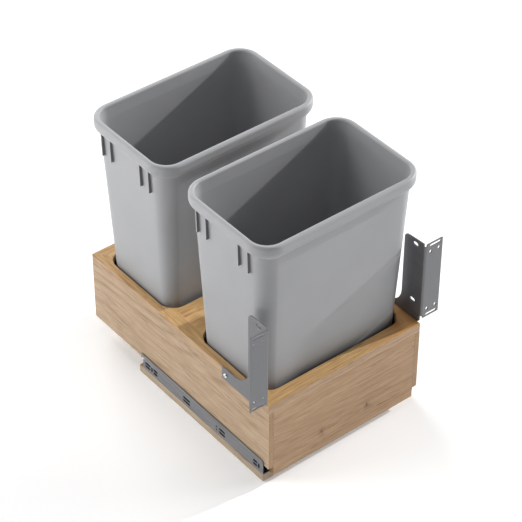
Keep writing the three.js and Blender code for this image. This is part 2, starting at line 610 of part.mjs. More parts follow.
/** Section of the bend in the XY plane, with a short straight leg into each plate. */
function bendPlan(x, y) {
  const inner = BEND_RADIUS;
  const outer = BEND_RADIUS + BRACKET_THICK;
  const shape = new THREE.Shape();
  shape.moveTo(x - BEND_LEG, y - outer);
  shape.absarc(x, y, outer, -Math.PI / 2, 0);
  shape.lineTo(x + outer, y + BEND_LEG);
  shape.lineTo(x + inner, y + BEND_LEG);
  shape.absarc(x, y, inner, 0, -Math.PI / 2, true);
  shape.lineTo(x - BEND_LEG, y - inner);
  shape.closePath();
  return shape;
}

function doorBracket() {
  const plateOuterX = SIDE_X - BRACKET_THICK;
  const bendX = plateOuterX - BEND_RADIUS;
  const bendY = BRACKET_THICK + BEND_RADIUS;
  const flangeX = SIDE_X - FLANGE_WIDTH;
  const plate = alongX(platePlan(), plateOuterX, SIDE_X, CORNER_STEPS);
  const flange = box([flangeX, 0, FLANGE_LOW], [bendX, BRACKET_THICK, FLANGE_HIGH]);
  const bendLow = FLANGE_LOW + BEND_RELIEF;
  const bend = slab(bendPlan(bendX, bendY), FLANGE_HIGH - BEND_RELIEF - bendLow, SLOT_STEPS)
    .translate(0, 0, bendLow);

  const sideSlots = [SIDE_SLOT.low, SIDE_SLOT.high].map((z) => alongX(
    slotShape(SIDE_SLOT.y, z, SIDE_SLOT.length, SIDE_SLOT.width), plateOuterX - PAST, SIDE_X + PAST));
  const throughFlange = (slot) => alongY(slot, -PAST, BRACKET_THICK + PAST);
  const flangeSlots = [FLANGE_LOW + FLANGE_SLOT.edge, FLANGE_HIGH - FLANGE_SLOT.edge].map(
    (z) => throughFlange(slotShape(SIDE_X - FLANGE_SLOT.x, z, FLANGE_SLOT.length, FLANGE_SLOT.width)));
  const ovals = [FLANGE_LOW + FLANGE_OVAL.edge, FLANGE_HIGH - FLANGE_OVAL.edge].flatMap(
    (z) => FLANGE_OVAL.xs.map(
      (x) => throughFlange(slotShape(SIDE_X - x, z, FLANGE_OVAL.height, FLANGE_OVAL.width, true))));
  const screwD = BRACKET_SCREW.shankD + 2 * PLATE_HOLE_CLEARANCE;
  const screwHoles = PLATE_SCREW_Y.map(
    (y) => bar('x', screwD, plateOuterX - PAST, SIDE_X + PAST, [y, -PLATE_SCREW_BELOW_TOP]));
  return cut(join([plate, flange, bend]), [...sideSlots, ...flangeSlots, ...ovals, ...screwHoles])
    .translate(0, FRONT_Y, TRAY_TOP_Z);
}

// ---------------------------------------------------------------------------------------------
// Bin
// ---------------------------------------------------------------------------------------------

/** One ring of the bin, a distance in from the rim's outline. */
function binRing(inset, z, radius = BIN_RIM_RADIUS - inset) {
  return ring(BIN_RIM_X - 2 * inset, BIN_RIM_Y - 2 * inset, radius, z);
}

/** One ring of the plain wall at a height, on its outer face or a depth in from it. */
function wallRing(z, depth = 0) {
  return binRing(wallInset(z) + depth, z, wallRadius(z) - depth);
}

/** Handle fin under the collar, as an outline in the XZ plane on the left end of the bin. */
function finPlan() {
  const x = (inset) => inset - BIN_RIM_X / 2;
  const low = BIN_HEIGHT - FIN_HEIGHT;
  const collarLow = BIN_HEIGHT - COLLAR_HEIGHT;
  const wallRoot = BIN_WALL / 2;
  const collarRoot = RIM_BAND - COLLAR_WALL / 2;
  return outline([[x(FIN_INSET), low], [x(wallInset(low) + wallRoot), low],
    [x(wallInset(collarLow) + wallRoot), collarLow], [x(collarRoot), collarLow + COLLAR_STEP],
    [x(collarRoot), BIN_HEIGHT - FIN_TOP], [x(FIN_INSET), BIN_HEIGHT - FIN_TOP]]);
}

function bin() {
  const top = BIN_HEIGHT;
  const groove = top - RIM_THICK;
  const skirtLow = top - SKIRT_HEIGHT;
  const collarLow = top - COLLAR_HEIGHT;
  const collarInset = RIM_BAND - COLLAR_WALL;
  const turn = quarterTurn(ROUND_STEPS);
  const recess = BIN_FOOT_RADIUS + BIN_FOOT_RING;
  const footInset = wallInset(0) + recess;
  const footRadius = wallRadius(0) - recess;
  const foot = turn.map(([c, s]) => wallRing(BIN_FOOT_RADIUS * (1 - c), BIN_FOOT_RADIUS * (1 - s)));
  const rimOuter = turn.map(
    ([c, s]) => binRing(RIM_OUTER_RADIUS * (1 - c), top - RIM_OUTER_RADIUS * (1 - s)));
  const rimInner = [...turn].reverse().map(
    ([c, s]) => binRing(RIM_BAND - RIM_INNER_RADIUS * (1 - c), top - RIM_INNER_RADIUS * (1 - s)));
  const floor = turn.map(([c, s]) => wallRing(
    BIN_FLOOR + BIN_FLOOR_RADIUS * (1 - s), BIN_WALL + BIN_FLOOR_RADIUS * (1 - c)));
  const shell = loft([
    // underside: a shallow recess inside the foot ring
    binRing(footInset + BIN_FOOT_RECESS, BIN_FOOT_RECESS, footRadius - BIN_FOOT_RECESS),
    binRing(footInset, 0, footRadius), ...foot,
    // plain wall, then the step out to the collar
    wallRing(collarLow), binRing(collarInset, collarLow + COLLAR_STEP), binRing(collarInset, groove),
    // groove between the collar and the skirt, open below
    binRing(SKIRT_WALL, groove), binRing(SKIRT_WALL, skirtLow + SKIRT_TURN),
    // skirt's turned-in lower edge, its outer face and the rolled rim
    binRing(SKIRT_TURN, skirtLow), binRing(SKIRT_TURN - SKIRT_WALL / 2, skirtLow - SKIRT_WALL / 4),
    binRing(0, skirtLow + SKIRT_TURN - SKIRT_WALL / 4), ...rimOuter, ...rimInner,
    // inner face of the collar, the plain wall and the floor
    binRing(RIM_BAND, collarLow + COLLAR_STEP), wallRing(collarLow - 1, BIN_WALL), ...floor,
  ]);
  const fin = alongY(finPlan(), -FIN_THICK / 2, FIN_THICK / 2);
  const fins = FIN_OFFSETS.flatMap((y) => [fin.clone().translate(0, y, 0),
    fin.clone().rotateZ(Math.PI).translate(0, y, 0)]);
  return join([shell, ...fins]);
}

// ---------------------------------------------------------------------------------------------
// Assembly
// ---------------------------------------------------------------------------------------------

const cabinetInsert = new THREE.Group();

const base = new THREE.Group();
add(base, 'base_board', baseBoard(), wood);
addPair(base, 'rail', rail(), steel);
addPair(base, 'cabinet_member', cabinetMember(), zinc);
const footScrew = screw(FOOT_SCREW);
FOOT_SCREW_YS.forEach((y, i) => [['left', FOOT_SCREW_X], ['right', -FOOT_SCREW_X]].forEach(
  ([side, x]) => add(base, `rail_screw_${side}_${i + 1}`, footScrew, brightZinc, [x, y, FOOT_TOP_Z])));
cabinetInsert.add(base);

const slides = new THREE.Group();
addPair(slides, 'outer_cage', outerCage(), cagePlastic);
addPair(slides, 'middle_member', middleMember(), zinc);
addPair(slides, 'inner_cage', innerCage(), cagePlastic);
cabinetInsert.add(slides);

const tray = new THREE.Group();
addPair(tray, 'drawer_member', drawerMember(), zinc);
addPair(tray, 'cleat', cleat(), wood);
addPair(tray, 'tray_side', traySide(), wood);
add(tray, 'tray_front', trayFront(), wood);
add(tray, 'tray_back', trayBack(), wood);
add(tray, 'tray_bottom', trayBottom(), wood);
add(tray, 'tray_top', trayTop(), woodTop);
addPair(tray, 'door_bracket', doorBracket(), steel);
const cleatScrew = screw(CLEAT_SCREW);
const memberWebX = SIDE_INNER_X - INNER_SHEET;
CLEAT_SCREW_YS.forEach((y, i) => [['left', 1], ['right', -1]].forEach(([side, sign]) => add(
  tray, `drawer_screw_${side}_${i + 1}`, cleatScrew, brightZinc,
  [sign * memberWebX, y, SLIDE_MID_Z], [0, -sign * Math.PI / 2, 0])));
const bracketScrew = screw(BRACKET_SCREW);
const plateX = SIDE_X - BRACKET_THICK;
PLATE_SCREW_Y.forEach((y, i) => [['left', 1], ['right', -1]].forEach(([side, sign]) => add(
  tray, `bracket_screw_${side}_${i + 1}`, bracketScrew, brightZinc,
  [sign * plateX, FRONT_Y + y, TRAY_TOP_Z - PLATE_SCREW_BELOW_TOP], [0, -sign * Math.PI / 2, 0])));
cabinetInsert.add(tray);

const bins = new THREE.Group();
const binGeometry = bin();
add(bins, 'bin_front', binGeometry, binPlastic, [0, BIN_YS[0], BIN_FLOOR_Z]);
add(bins, 'bin_rear', binGeometry, binPlastic, [0, BIN_YS[1], BIN_FLOOR_Z]);
cabinetInsert.add(bins);

export default cabinetInsert;
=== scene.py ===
"""Looks of the pull-out waste bin cabinet insert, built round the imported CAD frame.

The wooden tray, its base board, the slide rails with their ball-bearing slides, the two lift-out bins
and the two door brackets are each a class that holds its sizes and builds its own surfaces. Sizes are
in millimetres in the CAD frame: +X right, -Y towards the user, +Z up. They become metres when a
surface is put into a mesh.
"""
import logging
import math
from dataclasses import dataclass, field
from enum import Enum
from typing import Callable, Sequence

import bpy
import numpy as np
from mathutils import Matrix, Vector
from mathutils.geometry import delaunay_2d_cdt


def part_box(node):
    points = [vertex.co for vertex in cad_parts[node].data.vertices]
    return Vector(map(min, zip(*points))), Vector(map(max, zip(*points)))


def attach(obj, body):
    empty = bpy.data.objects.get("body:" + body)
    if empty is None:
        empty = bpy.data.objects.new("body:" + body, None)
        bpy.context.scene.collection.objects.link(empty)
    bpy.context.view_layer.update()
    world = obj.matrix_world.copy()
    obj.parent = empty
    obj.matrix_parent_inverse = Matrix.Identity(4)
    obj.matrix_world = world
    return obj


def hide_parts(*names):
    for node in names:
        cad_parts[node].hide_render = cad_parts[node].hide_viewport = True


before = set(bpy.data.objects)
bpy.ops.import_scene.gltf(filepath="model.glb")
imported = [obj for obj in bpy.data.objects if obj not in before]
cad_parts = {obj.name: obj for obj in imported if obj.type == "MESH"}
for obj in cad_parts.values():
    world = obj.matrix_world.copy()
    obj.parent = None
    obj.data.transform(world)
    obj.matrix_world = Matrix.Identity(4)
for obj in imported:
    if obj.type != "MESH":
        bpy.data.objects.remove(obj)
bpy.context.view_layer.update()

log = logging.getLogger("waste_cabinet")

METRES = 0.001
TINY = 1e-7
MITRE_LIMIT = 0.3
BIN_YS = {"bin_front": -143.75, "bin_rear": 146.75}

Point = tuple[float, float, float]
Colour = tuple[float, float, float, float]
ChannelSizes = tuple[float, float, float, float]
CageSizes = tuple[float, float, float]
Socket = bpy.types.NodeSocket
Relief = tuple[float, float]
Values = dict[str | int, object]
Placer = Callable[[np.ndarray, np.ndarray, np.ndarray], np.ndarray]
Depth = Callable[[np.ndarray, np.ndarray], np.ndarray]


# Surfaces


class Side(Enum):
    """Side of the object, as the sign of X."""

    LEFT = -1
    RIGHT = 1

    @property
    def label(self) -> str:
        """Word used in names."""
        return self.name.lower()


class Normal(Enum):
    """Axis that a plate's thickness runs along."""

    X = 0
    Y = 1
    Z = 2

    def place(self, u: np.ndarray, v: np.ndarray, w: np.ndarray) -> np.ndarray:
        """Puts plan coordinates u, v and height w into x, y, z."""
        order = ((w, u, v), (u, w, v), (u, v, w))[self.value]
        return np.stack(order, axis=-1)


class EdgeKind(Enum):
    """Shape of a plate's edge."""

    ROUND = "round"
    CHAMFER = "chamfer"


@dataclass
class Skin:
    """Closed surface, in millimetres.

    Attributes:
        points: Corner points, shape (n, 3).
        faces: Arrays of corner indices, one of shape (k, 3) or (k, 4) for each strip or cap.
    """

    points: np.ndarray
    faces: list[np.ndarray]

    def volume(self) -> float:
        """Signed volume: the sum of the tetrahedra from the origin to each triangle.

        Returns:
            The volume, in cubic millimetres.
        """
        total = 0.0
        for corners in self.faces:
            p = self.points[corners]
            for k in range(1, corners.shape[1] - 1):
                total += float(np.einsum("ij,ij->", p[:, 0], np.cross(p[:, k], p[:, k + 1]))) / 6
        return total

    def outward(self) -> "Skin":
        """Turns the faces so that they point out.

        Returns:
            The surface itself, or one with its faces turned round.
        """
        if self.volume() >= 0:
            return self
        return Skin(self.points, [corners[:, ::-1] for corners in self.faces])

    def mirrored(self, side: Side) -> "Skin":
        """Puts a piece on a side: the left one stays, and the right one has x turned to -x.

        Args:
            side: Side that it is for.

        Returns:
            The surface.
        """
        if side is Side.LEFT:
            return self
        return Skin(self.points * (-1, 1, 1), self.faces).outward()

    def moved(self, x: float = 0.0, y: float = 0.0, z: float = 0.0) -> "Skin":
        """The same surface somewhere else."""
        return Skin(self.points + (x, y, z), self.faces)


def joined(skins: Sequence[Skin]) -> Skin:
    """Several surfaces as one.

    Args:
        skins: Surfaces that may touch or overlap.

    Returns:
        One surface with all their points and faces.
    """
    starts = np.cumsum([0] + [len(s.points) for s in skins])
    faces = [corners + start for s, start in zip(skins, starts) for corners in s.faces]
    return Skin(np.concatenate([s.points for s in skins]), faces)


def strips(rings: int, around: int, start: int = 0) -> np.ndarray:
    """Four-sided faces between rings of points that each close on themselves.

    Face (r, i) joins points i and i+1 of ring r to the same points of ring r+1.

    Args:
        rings: Number of rings.
        around: Number of points in each ring.
        start: Index of the first ring's first point.

    Returns:
        Corner indices, shape ((rings - 1) * around, 4).
    """
    ring = np.arange(rings - 1)[:, None] * around + start
    here = np.arange(around)[None, :]
    ahead = (here + 1) % around
    return np.stack(
        [ring + here, ring + ahead, ring + around + ahead, ring + around + here], axis=-1
    ).reshape(-1, 4)


def inside(points: np.ndarray, loops: Sequence[np.ndarray]) -> np.ndarray:
    """Even-odd test: a point is inside where a ray to +u crosses the loops an odd number of times.

    Args:
        points: Plan points, shape (n, 2).
        loops: Closed outlines and holes.

    Returns:
        True for each point that is in the material.
    """
    a = np.concatenate(loops)
    b = np.concatenate([np.roll(loop, -1, axis=0) for loop in loops])
    u, v = points[:, :1], points[:, 1:]
    spans = (a[:, 1] > v) != (b[:, 1] > v)
    rise = np.where(a[:, 1] == b[:, 1], 1.0, b[:, 1] - a[:, 1])
    crossing = a[:, 0] + (v - a[:, 1]) / rise * (b[:, 0] - a[:, 0])
    return (np.count_nonzero(spans & (u < crossing), axis=1) % 2) == 1


def filled(loops: Sequence[np.ndarray], folds: Sequence[tuple[int, int]] = ()) -> np.ndarray:
    """Triangles that fill an outline with holes, as a constrained Delaunay net.

    Args:
        loops: The outline first, then the holes.
        folds: Pairs of point indices joined by a line that the triangles keep.

    Returns:
        Corner indices into the loops' points in order, shape (t, 3).
    """
    points = np.concatenate(loops)
    edges: list[tuple[int, int]] = []
    start = 0
    for loop in loops:
        here = np.arange(len(loop))
        edges += list(zip((here + start).tolist(), ((here + 1) % len(loop) + start).tolist()))
        start += len(loop)
    result = delaunay_2d_cdt([Vector(p) for p in points.tolist()], edges + list(folds), [], 0, TINY)
    source = np.array([origin[0] for origin in result[3]])
    triangles = source[np.array([f for f in result[2] if len(f) == 3])]
    centres = points[triangles].mean(axis=1)
    return triangles[inside(centres, loops)]


@dataclass(frozen=True)
class Edge:
    """Finish of a plate's edge.

    Attributes:
        size: Radius of the round, or leg of the chamfer.
        steps: Number of strips across it.
        kind: Round or chamfer.
        hold: Width of the narrow strips beside it that keep the flat faces evenly shaded.
    """

    size: float
    steps: int = 3
    kind: EdgeKind = EdgeKind.ROUND
    hold: float = 0.3

    def path(self) -> np.ndarray:
        """Distance in from the wall and height over the face, from the wall to the face.

        A round is (r - r cos t, r sin t - r) for t from 0 to a quarter turn; a chamfer is a straight line.

        Returns:
            Array of shape (steps + 3, 2).
        """
        t = np.linspace(0, 1, self.steps + 1)
        if self.kind is EdgeKind.ROUND:
            turn = t * math.pi / 2
            bend = np.stack([1 - np.cos(turn), np.sin(turn) - 1], axis=-1) * self.size
        else:
            bend = np.stack([t, t - 1], axis=-1) * self.size
        first = bend[:1] - (0, self.hold)
        last = bend[-1:] + (self.hold, 0)
        return np.concatenate([first, bend, last])


FINE = Edge(0.25, 2, hold=0.1)
SOFT = Edge(0.6, 4)


@dataclass
class Loop:
    """Closed outline in plan, with the material on its left.

    Attributes:
        points: Shape (n, 2).
        top: Finish of its upper edge.
        bottom: Finish of its lower edge.
    """

    points: np.ndarray
    top: Edge = FINE
    bottom: Edge = FINE

    def inward(self) -> np.ndarray:
        """Mitre direction at each point: (n1 + n2) / (1 + n1 . n2), for the unit normals of its two sides.

        Returns:
            Directions into the material, shape (n, 2).
        """
        along = np.roll(self.points, -1, axis=0) - self.points
        along = along / np.maximum(np.linalg.norm(along, axis=1, keepdims=True), TINY)
        ahead = np.stack([-along[:, 1], along[:, 0]], axis=-1)
        behind = np.roll(ahead, 1, axis=0)
        turn = np.einsum("ij,ij->i", ahead, behind)[:, None]
        return (ahead + behind) / np.maximum(1 + turn, MITRE_LIMIT)

    def rings(self, low: float, high: float) -> tuple[np.ndarray, np.ndarray]:
        """Rings from the lower face to the upper one.

        Args:
            low: Height of the lower face.
            high: Height of the upper face.

        Returns:
            Plan points, shape (rings, n, 2), and heights, shape (rings,).
        """
        under = self.bottom.path()[::-1] * (1, -1) + (0, low)
        over = self.top.path() + (0, high)
        path = np.concatenate([under, over])
        plan = self.points[None] + path[:, :1, None] * self.inward()[None]
        return plan, path[:, 1]


@dataclass
class Plate:
    """Flat or folded plate: an outline with holes, given a thickness and finished edges.

    Attributes:
        outline: Its outer loop, anticlockwise.
        holes: Its inner loops, clockwise.
        low: Height of the lower face.
        high: Height of the upper face.
        folds: Values of u where a fold's lines cross the plate.
    """

    outline: Loop
    holes: Sequence[Loop]
    low: float
    high: float
    folds: tuple[float, ...] = ()

    def skin(self, place: Placer) -> Skin:
        """The plate's closed surface.

        Args:
            place: Turns u, v and height into x, y, z.

        Returns:
            The surface, with its faces pointing out.
        """
        outline = Loop(crossed(self.outline.points, self.folds), self.outline.top, self.outline.bottom)
        pairs = fold_pairs(outline.points, self.folds)
        points, faces, first, last = [], [], [], []
        start = 0
        for loop in (outline, *self.holes):
            plan, heights = loop.rings(self.low, self.high)
            rings, around = plan.shape[:2]
            w = np.broadcast_to(heights[:, None], (rings, around))
            points.append(place(plan[..., 0], plan[..., 1], w).reshape(-1, 3))
            faces.append(strips(rings, around, start))
            first.append((plan[0], np.arange(around) + start))
            last.append((plan[-1], np.arange(around) + start + (rings - 1) * around))
            start += rings * around
        for caps, flip in ((first, True), (last, False)):
            net = filled([plan for plan, _ in caps], pairs)
            corners = np.concatenate([where for _, where in caps])[net]
            faces.append(corners[:, ::-1] if flip else corners)
        return Skin(np.concatenate(points), faces).outward()


def crossed(loop: np.ndarray, folds: Sequence[float]) -> np.ndarray:
    """Adds points to an outline where the lines u = fold cross its sides.

    Args:
        loop: The outline's points.
        folds: Values of u.

    Returns:
        The outline with its new points.
    """
    for fold in folds:
        here = loop[:, 0] - fold
        ahead = np.roll(here, -1)
        where = np.flatnonzero(here * ahead < 0)
        share = (here[where] / (here[where] - ahead[where]))[:, None]
        added = loop[where] * (1 - share) + np.roll(loop, -1, axis=0)[where] * share
        loop = np.insert(loop, where + 1, added, axis=0)
    return loop


def fold_pairs(loop: np.ndarray, folds: Sequence[float]) -> list[tuple[int, int]]:
    """Pairs of outline points that a fold line joins, two by two from the lowest v up.

    Args:
        loop: The outline's points, with those on the fold lines.
        folds: Values of u.

    Returns:
        Pairs of point indices.
    """
    pairs: list[tuple[int, int]] = []
    for fold in folds:
        found = np.flatnonzero(np.abs(loop[:, 0] - fold) < TINY)
        found = found[np.argsort(loop[found, 1])].tolist()
        pairs += list(zip(found[::2], found[1::2]))
    return pairs


def softened(corners: Sequence[Sequence[float]], cut: float | Sequence[float], steps: int = 4,
             hold: float = 0.3, closed: bool = True) -> np.ndarray:
    """A path with its corners rounded.

    Each corner p becomes the arc ((1-t)^2 a + k p + t^2 b) / ((1-t)^2 + k + t^2), with k = 2 w t (1-t),
    where a and b lie a cut's length before and after it, and w is the cosine of half the turn there. A
    short straight is kept on each side of the arc. A cut of 0 keeps the corner.

    Args:
        corners: The path's corners, shape (n, 2).
        cut: Length cut from each side, one for all corners or one each.
        steps: Number of pieces in each curve.
        hold: Length of the short straights.
        closed: Whether the path closes on itself; the ends of an open path stay as they are.

    Returns:
        The path's points.
    """
    p = np.asarray(corners, float)
    size = np.broadcast_to(np.asarray(cut, float), (len(p),))[:, None, None]
    back = np.roll(p, 1, axis=0) - p
    ahead = np.roll(p, -1, axis=0) - p
    back = back / np.maximum(np.linalg.norm(back, axis=1, keepdims=True), TINY)
    ahead = ahead / np.maximum(np.linalg.norm(ahead, axis=1, keepdims=True), TINY)
    t = np.linspace(0, 1, steps + 1)[None, :, None]
    before = p[:, None] + size * back[:, None]
    after = p[:, None] + size * ahead[:, None]
    straightness = np.maximum(1 - np.einsum("ij,ij->i", back, ahead), 0)
    pull = np.sqrt(straightness / 2)[:, None, None] * 2 * t * (1 - t)
    curve = ((1 - t) ** 2 * before + pull * p[:, None] + t**2 * after) / ((1 - t) ** 2 + pull + t**2)
    rows = np.concatenate([before + hold * back[:, None], curve, after + hold * ahead[:, None]], axis=1)
    keep = np.ones(rows.shape[:2], bool)
    keep[size[:, 0, 0] <= 0] = False
    keep[size[:, 0, 0] <= 0, 1] = True
    if not closed:
        keep[[0, -1]] = False
        keep[[0, -1], 1] = True
        rows[[0, -1], 1] = p[[0, -1]]
    return rows[keep]


def rectangle(u0: float, v0: float, u1: float, v1: float, cut: float = 1.0) -> np.ndarray:
    """Anticlockwise rectangle with softened corners."""
    return softened([(u0, v0), (u1, v0), (u1, v1), (u0, v1)], cut)


def slot(u: float, v: float, length: float, width: float, upright: bool = False,
         steps: int = 10) -> np.ndarray:
    """Clockwise slot with round ends, for a hole.

    Args:
        u: Centre along u.
        v: Centre along v.
        length: Length over the round ends; the width for a round hole.
        width: Width, twice the ends' radius.
        upright: Whether it is long along v.
        steps: Number of pieces in each round end.

    Returns:
        Points of the loop.
    """
    half = max((length - width) / 2, 0.0)
    turn = np.linspace(math.pi / 2, -math.pi / 2, steps + 1)
    end = np.stack([np.cos(turn), np.sin(turn)], axis=-1) * width / 2
    if half < TINY:
        end = end[:-1]
    right = end + (half, 0)
    loop = np.concatenate([right, -right])
    if upright:
        loop = loop[:, ::-1] * (1, -1)
    return loop + (u, v)


@dataclass(frozen=True)
class FoldPath:
    """Line that the inner face of a bent sheet follows: straight runs joined by bends to the left.

    Attributes:
        corners: Corners of the line before its bends are rounded, in the section's two coordinates.
        radius: Inner radius of each bend.
        steps: Number of strips across each bend.
        hold: Width of the narrow strips beside each bend.
    """

    corners: tuple[tuple[float, float], ...]
    radius: float
    steps: int = 8
    hold: float = 0.3

    def nodes(self) -> np.ndarray:
        """Points where the line starts, ends or bends.

        On a bend the point is centre + r (sin a, -cos a), where a is the direction that the line runs in.

        Returns:
            Rows of distance along the line, the two coordinates and the direction.
        """
        p = np.asarray(self.corners, float)
        run = np.diff(p, axis=0)
        length = np.linalg.norm(run, axis=1)
        heading = np.unwrap(np.arctan2(run[:, 1], run[:, 0]))
        rows = [(0.0, p[0, 0], p[0, 1], heading[0])]
        far = 0.0
        spent = 0.0
        for i in range(len(run)):
            turning = heading[i + 1] - heading[i] if i + 1 < len(run) else 0.0
            tangent = self.radius * math.tan(turning / 2)
            far += length[i] - spent - tangent
            spent = tangent
            end = p[i + 1] - run[i] / length[i] * tangent
            if turning == 0.0:
                rows.append((far, *end, heading[i]))
                continue
            centre = end + self.radius * np.array([-math.sin(heading[i]), math.cos(heading[i])])
            angle = heading[i] + np.linspace(0, 1, self.steps + 1) * turning
            rows += list(zip(
                far + (angle - heading[i]) * self.radius,
                centre[0] + self.radius * np.sin(angle),
                centre[1] - self.radius * np.cos(angle),
                angle,
            ))
            far += turning * self.radius
        return np.array(rows)

    def length(self) -> float:
        """Length of the whole line."""
        return float(self.nodes()[-1, 0])

    def bends(self) -> list[tuple[float, float]]:
        """Distance along the line to each bend's start and end."""
        far = self.nodes()[1:-1, 0].reshape(-1, self.steps + 1)
        return [(float(row[0]), float(row[-1])) for row in far]

    def folds(self) -> tuple[float, ...]:
        """Lines that a sheet needs across each bend.

        Returns:
            Their values of u, in order.
        """
        inner = self.nodes()[1:-1, 0]
        beside = [value for start, end in self.bends() for value in (start - self.hold, end + self.hold)]
        return tuple(sorted([*inner.tolist(), *beside]))

    def placer(self, normal: Normal) -> Placer:
        """Function that bends a flat sheet.

        A point at u along the line, v across the sheet and w through it goes to the line's point at u,
        plus w times (sin a, -cos a), with v along the section's normal axis.

        Args:
            normal: Axis that v runs along.

        Returns:
            The function.
        """
        node = self.nodes()

        def place(u: np.ndarray, v: np.ndarray, w: np.ndarray) -> np.ndarray:
            """Bends flat coordinates.

            Args:
                u: Place along the line.
                v: Place across the sheet.
                w: Height through the sheet.

            Returns:
                Places in x, y, z.
            """
            angle = np.interp(u, node[:, 0], node[:, 3])
            run = np.maximum(u - node[-1, 0], 0) + np.minimum(u, 0)
            a = np.interp(u, node[:, 0], node[:, 1]) + w * np.sin(angle) + run * np.cos(angle)
            b = np.interp(u, node[:, 0], node[:, 2]) - w * np.cos(angle) + run * np.sin(angle)
            return normal.place(a, b, v)

        return place


@dataclass(frozen=True)
class RoundedPlan:
    """Rounded rectangle as a unit pattern: x = share_x * core_x + radius * normal_x, and y likewise.

    Attributes:
        share: Where each point is on the core rectangle, from -1 to 1, shape (n, 2).
        normal: Direction of the corner radius at each point, shape (n, 2).
    """

    share: np.ndarray
    normal: np.ndarray

    @classmethod
    def make(cls, corner: int, long_side: int, short_side: int) -> "RoundedPlan":
        """Builds the pattern anticlockwise from the +x side.

        Args:
            corner: Steps in each corner.
            long_side: Steps in each side along x.
            short_side: Steps in each side along y.

        Returns:
            The pattern.
        """
        share, normal = [], []
        for q, (sx, sy) in enumerate(((1, 1), (-1, 1), (-1, -1), (1, -1))):
            angle = (q + np.linspace(0, 1, corner + 1)) * math.pi / 2
            share.append(np.tile((sx, sy), (corner + 1, 1)))
            normal.append(np.stack([np.cos(angle), np.sin(angle)], axis=-1))
            steps = long_side if q % 2 == 0 else short_side
            t = np.linspace(0, 1, steps + 1)[1:-1, None]
            ahead = ((-1, 1), (-1, -1), (1, -1), (1, 1))[q]
            share.append((1 - t) * (sx, sy) + t * ahead)
            normal.append(np.tile(normal[-1][-1], (steps - 1, 1)))
        return cls(np.concatenate(share), np.concatenate(normal))

    def rings(self, core: np.ndarray, radius: np.ndarray, height: np.ndarray) -> np.ndarray:
        """Rings of points.

        Args:
            core: Half sizes of the core rectangle of each ring, shape (m, 2).
            radius: Corner radius of each ring, shape (m,).
            height: Height of each ring, shape (m,).

        Returns:
            Array of shape (m, n, 3).
        """
        plan = self.share[None] * core[:, None] + self.normal[None] * radius[:, None, None]
        high = np.broadcast_to(height[:, None, None], (*plan.shape[:2], 1))
        return np.concatenate([plan, high], axis=-1)


def lofted(rings: np.ndarray) -> Skin:
    """Closed surface through rings, with a flat net across the first and the last.

    Args:
        rings: Array of shape (m, n, 3).

    Returns:
        The surface, with its faces pointing out.
    """
    m, n = rings.shape[:2]
    faces = [strips(m, n)]
    faces.append(filled([rings[0, :, :2]])[:, ::-1])
    faces.append(filled([rings[-1, :, :2]]) + (m - 1) * n)
    return Skin(rings.reshape(-1, 3), faces).outward()


def turned(profile: np.ndarray, steps: int, sink: Depth | None = None) -> Skin:
    """Surface of revolution about the z axis, from the axis below to the axis above.

    A point is (r cos t, r sin t, h - sink(x, y)), for each profile row (r, h) and turn t.

    Args:
        profile: Rows of radius and height; the first and the last are on the axis.
        steps: Points in each ring.
        sink: Depth taken off the upper surface at x, y, or None.

    Returns:
        The surface, with its faces pointing out.
    """
    turn = np.arange(steps) / steps * 2 * math.pi
    x = profile[1:-1, :1] * np.cos(turn)
    y = profile[1:-1, :1] * np.sin(turn)
    z = np.broadcast_to(profile[1:-1, 1:], x.shape).copy()
    tip = float(profile[-1, 1])
    if sink is not None:
        z = z - np.where(z > 0, sink(x, y), 0)
        tip -= float(sink(np.zeros(1), np.zeros(1))[0])
    rings = len(profile) - 2
    poles = [(0, 0, profile[0, 1]), (0, 0, tip)]
    points = np.concatenate([np.stack([x, y, z], axis=-1).reshape(-1, 3), poles])
    here = np.arange(steps)
    ahead = (here + 1) % steps
    low = np.stack([np.full(steps, rings * steps), ahead, here], axis=-1)
    top = (rings - 1) * steps
    high = np.stack([np.full(steps, rings * steps + 1), top + here, top + ahead], axis=-1)
    return Skin(points, [strips(rings, steps), low, high]).outward()


# Pieces


@dataclass
class Piece:
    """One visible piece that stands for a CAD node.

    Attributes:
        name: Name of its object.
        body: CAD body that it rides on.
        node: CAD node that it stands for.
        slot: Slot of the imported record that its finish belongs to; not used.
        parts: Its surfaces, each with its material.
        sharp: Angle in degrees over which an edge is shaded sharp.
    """

    name: str
    body: str
    node: str
    slot: str
    parts: list[tuple[Skin, bpy.types.Material]]
    sharp: float = 40.0

    def build(self) -> None:
        """Makes the object, in metres, and ties it to the frame."""
        whole = joined([skin for skin, _ in self.parts])
        counts = [sum(len(corners) for corners in skin.faces) for skin, _ in self.parts]
        kind = np.repeat(np.arange(len(self.parts)), counts)
        totals = np.concatenate([np.full(len(c), c.shape[1]) for c in whole.faces])
        corners = np.concatenate([c.reshape(-1) for c in whole.faces])
        mesh = bpy.data.meshes.new(self.name)
        mesh.vertices.add(len(whole.points))
        mesh.vertices.foreach_set("co", (whole.points * METRES).astype(np.float32).ravel())
        mesh.loops.add(len(corners))
        mesh.loops.foreach_set("vertex_index", corners.astype(np.int32))
        mesh.polygons.add(len(totals))
        mesh.polygons.foreach_set("loop_start", (np.cumsum(totals) - totals).astype(np.int32))
        for _, material in self.parts:
            mesh.materials.append(material)
        mesh.polygons.foreach_set("material_index", kind.astype(np.int32))
        mesh.polygons.foreach_set("use_smooth", np.ones(len(totals), bool))
        mesh.update(calc_edges=True)
        mesh.validate()
        mesh.set_sharp_from_angle(angle=math.radians(self.sharp))
        piece = bpy.data.objects.new(self.name, mesh)
        bpy.context.scene.collection.objects.link(piece)
        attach(piece, self.body)
        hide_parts(self.node)
        log.info("%s: %d faces, rides on %s", self.name, len(totals), self.body)


# Finishes


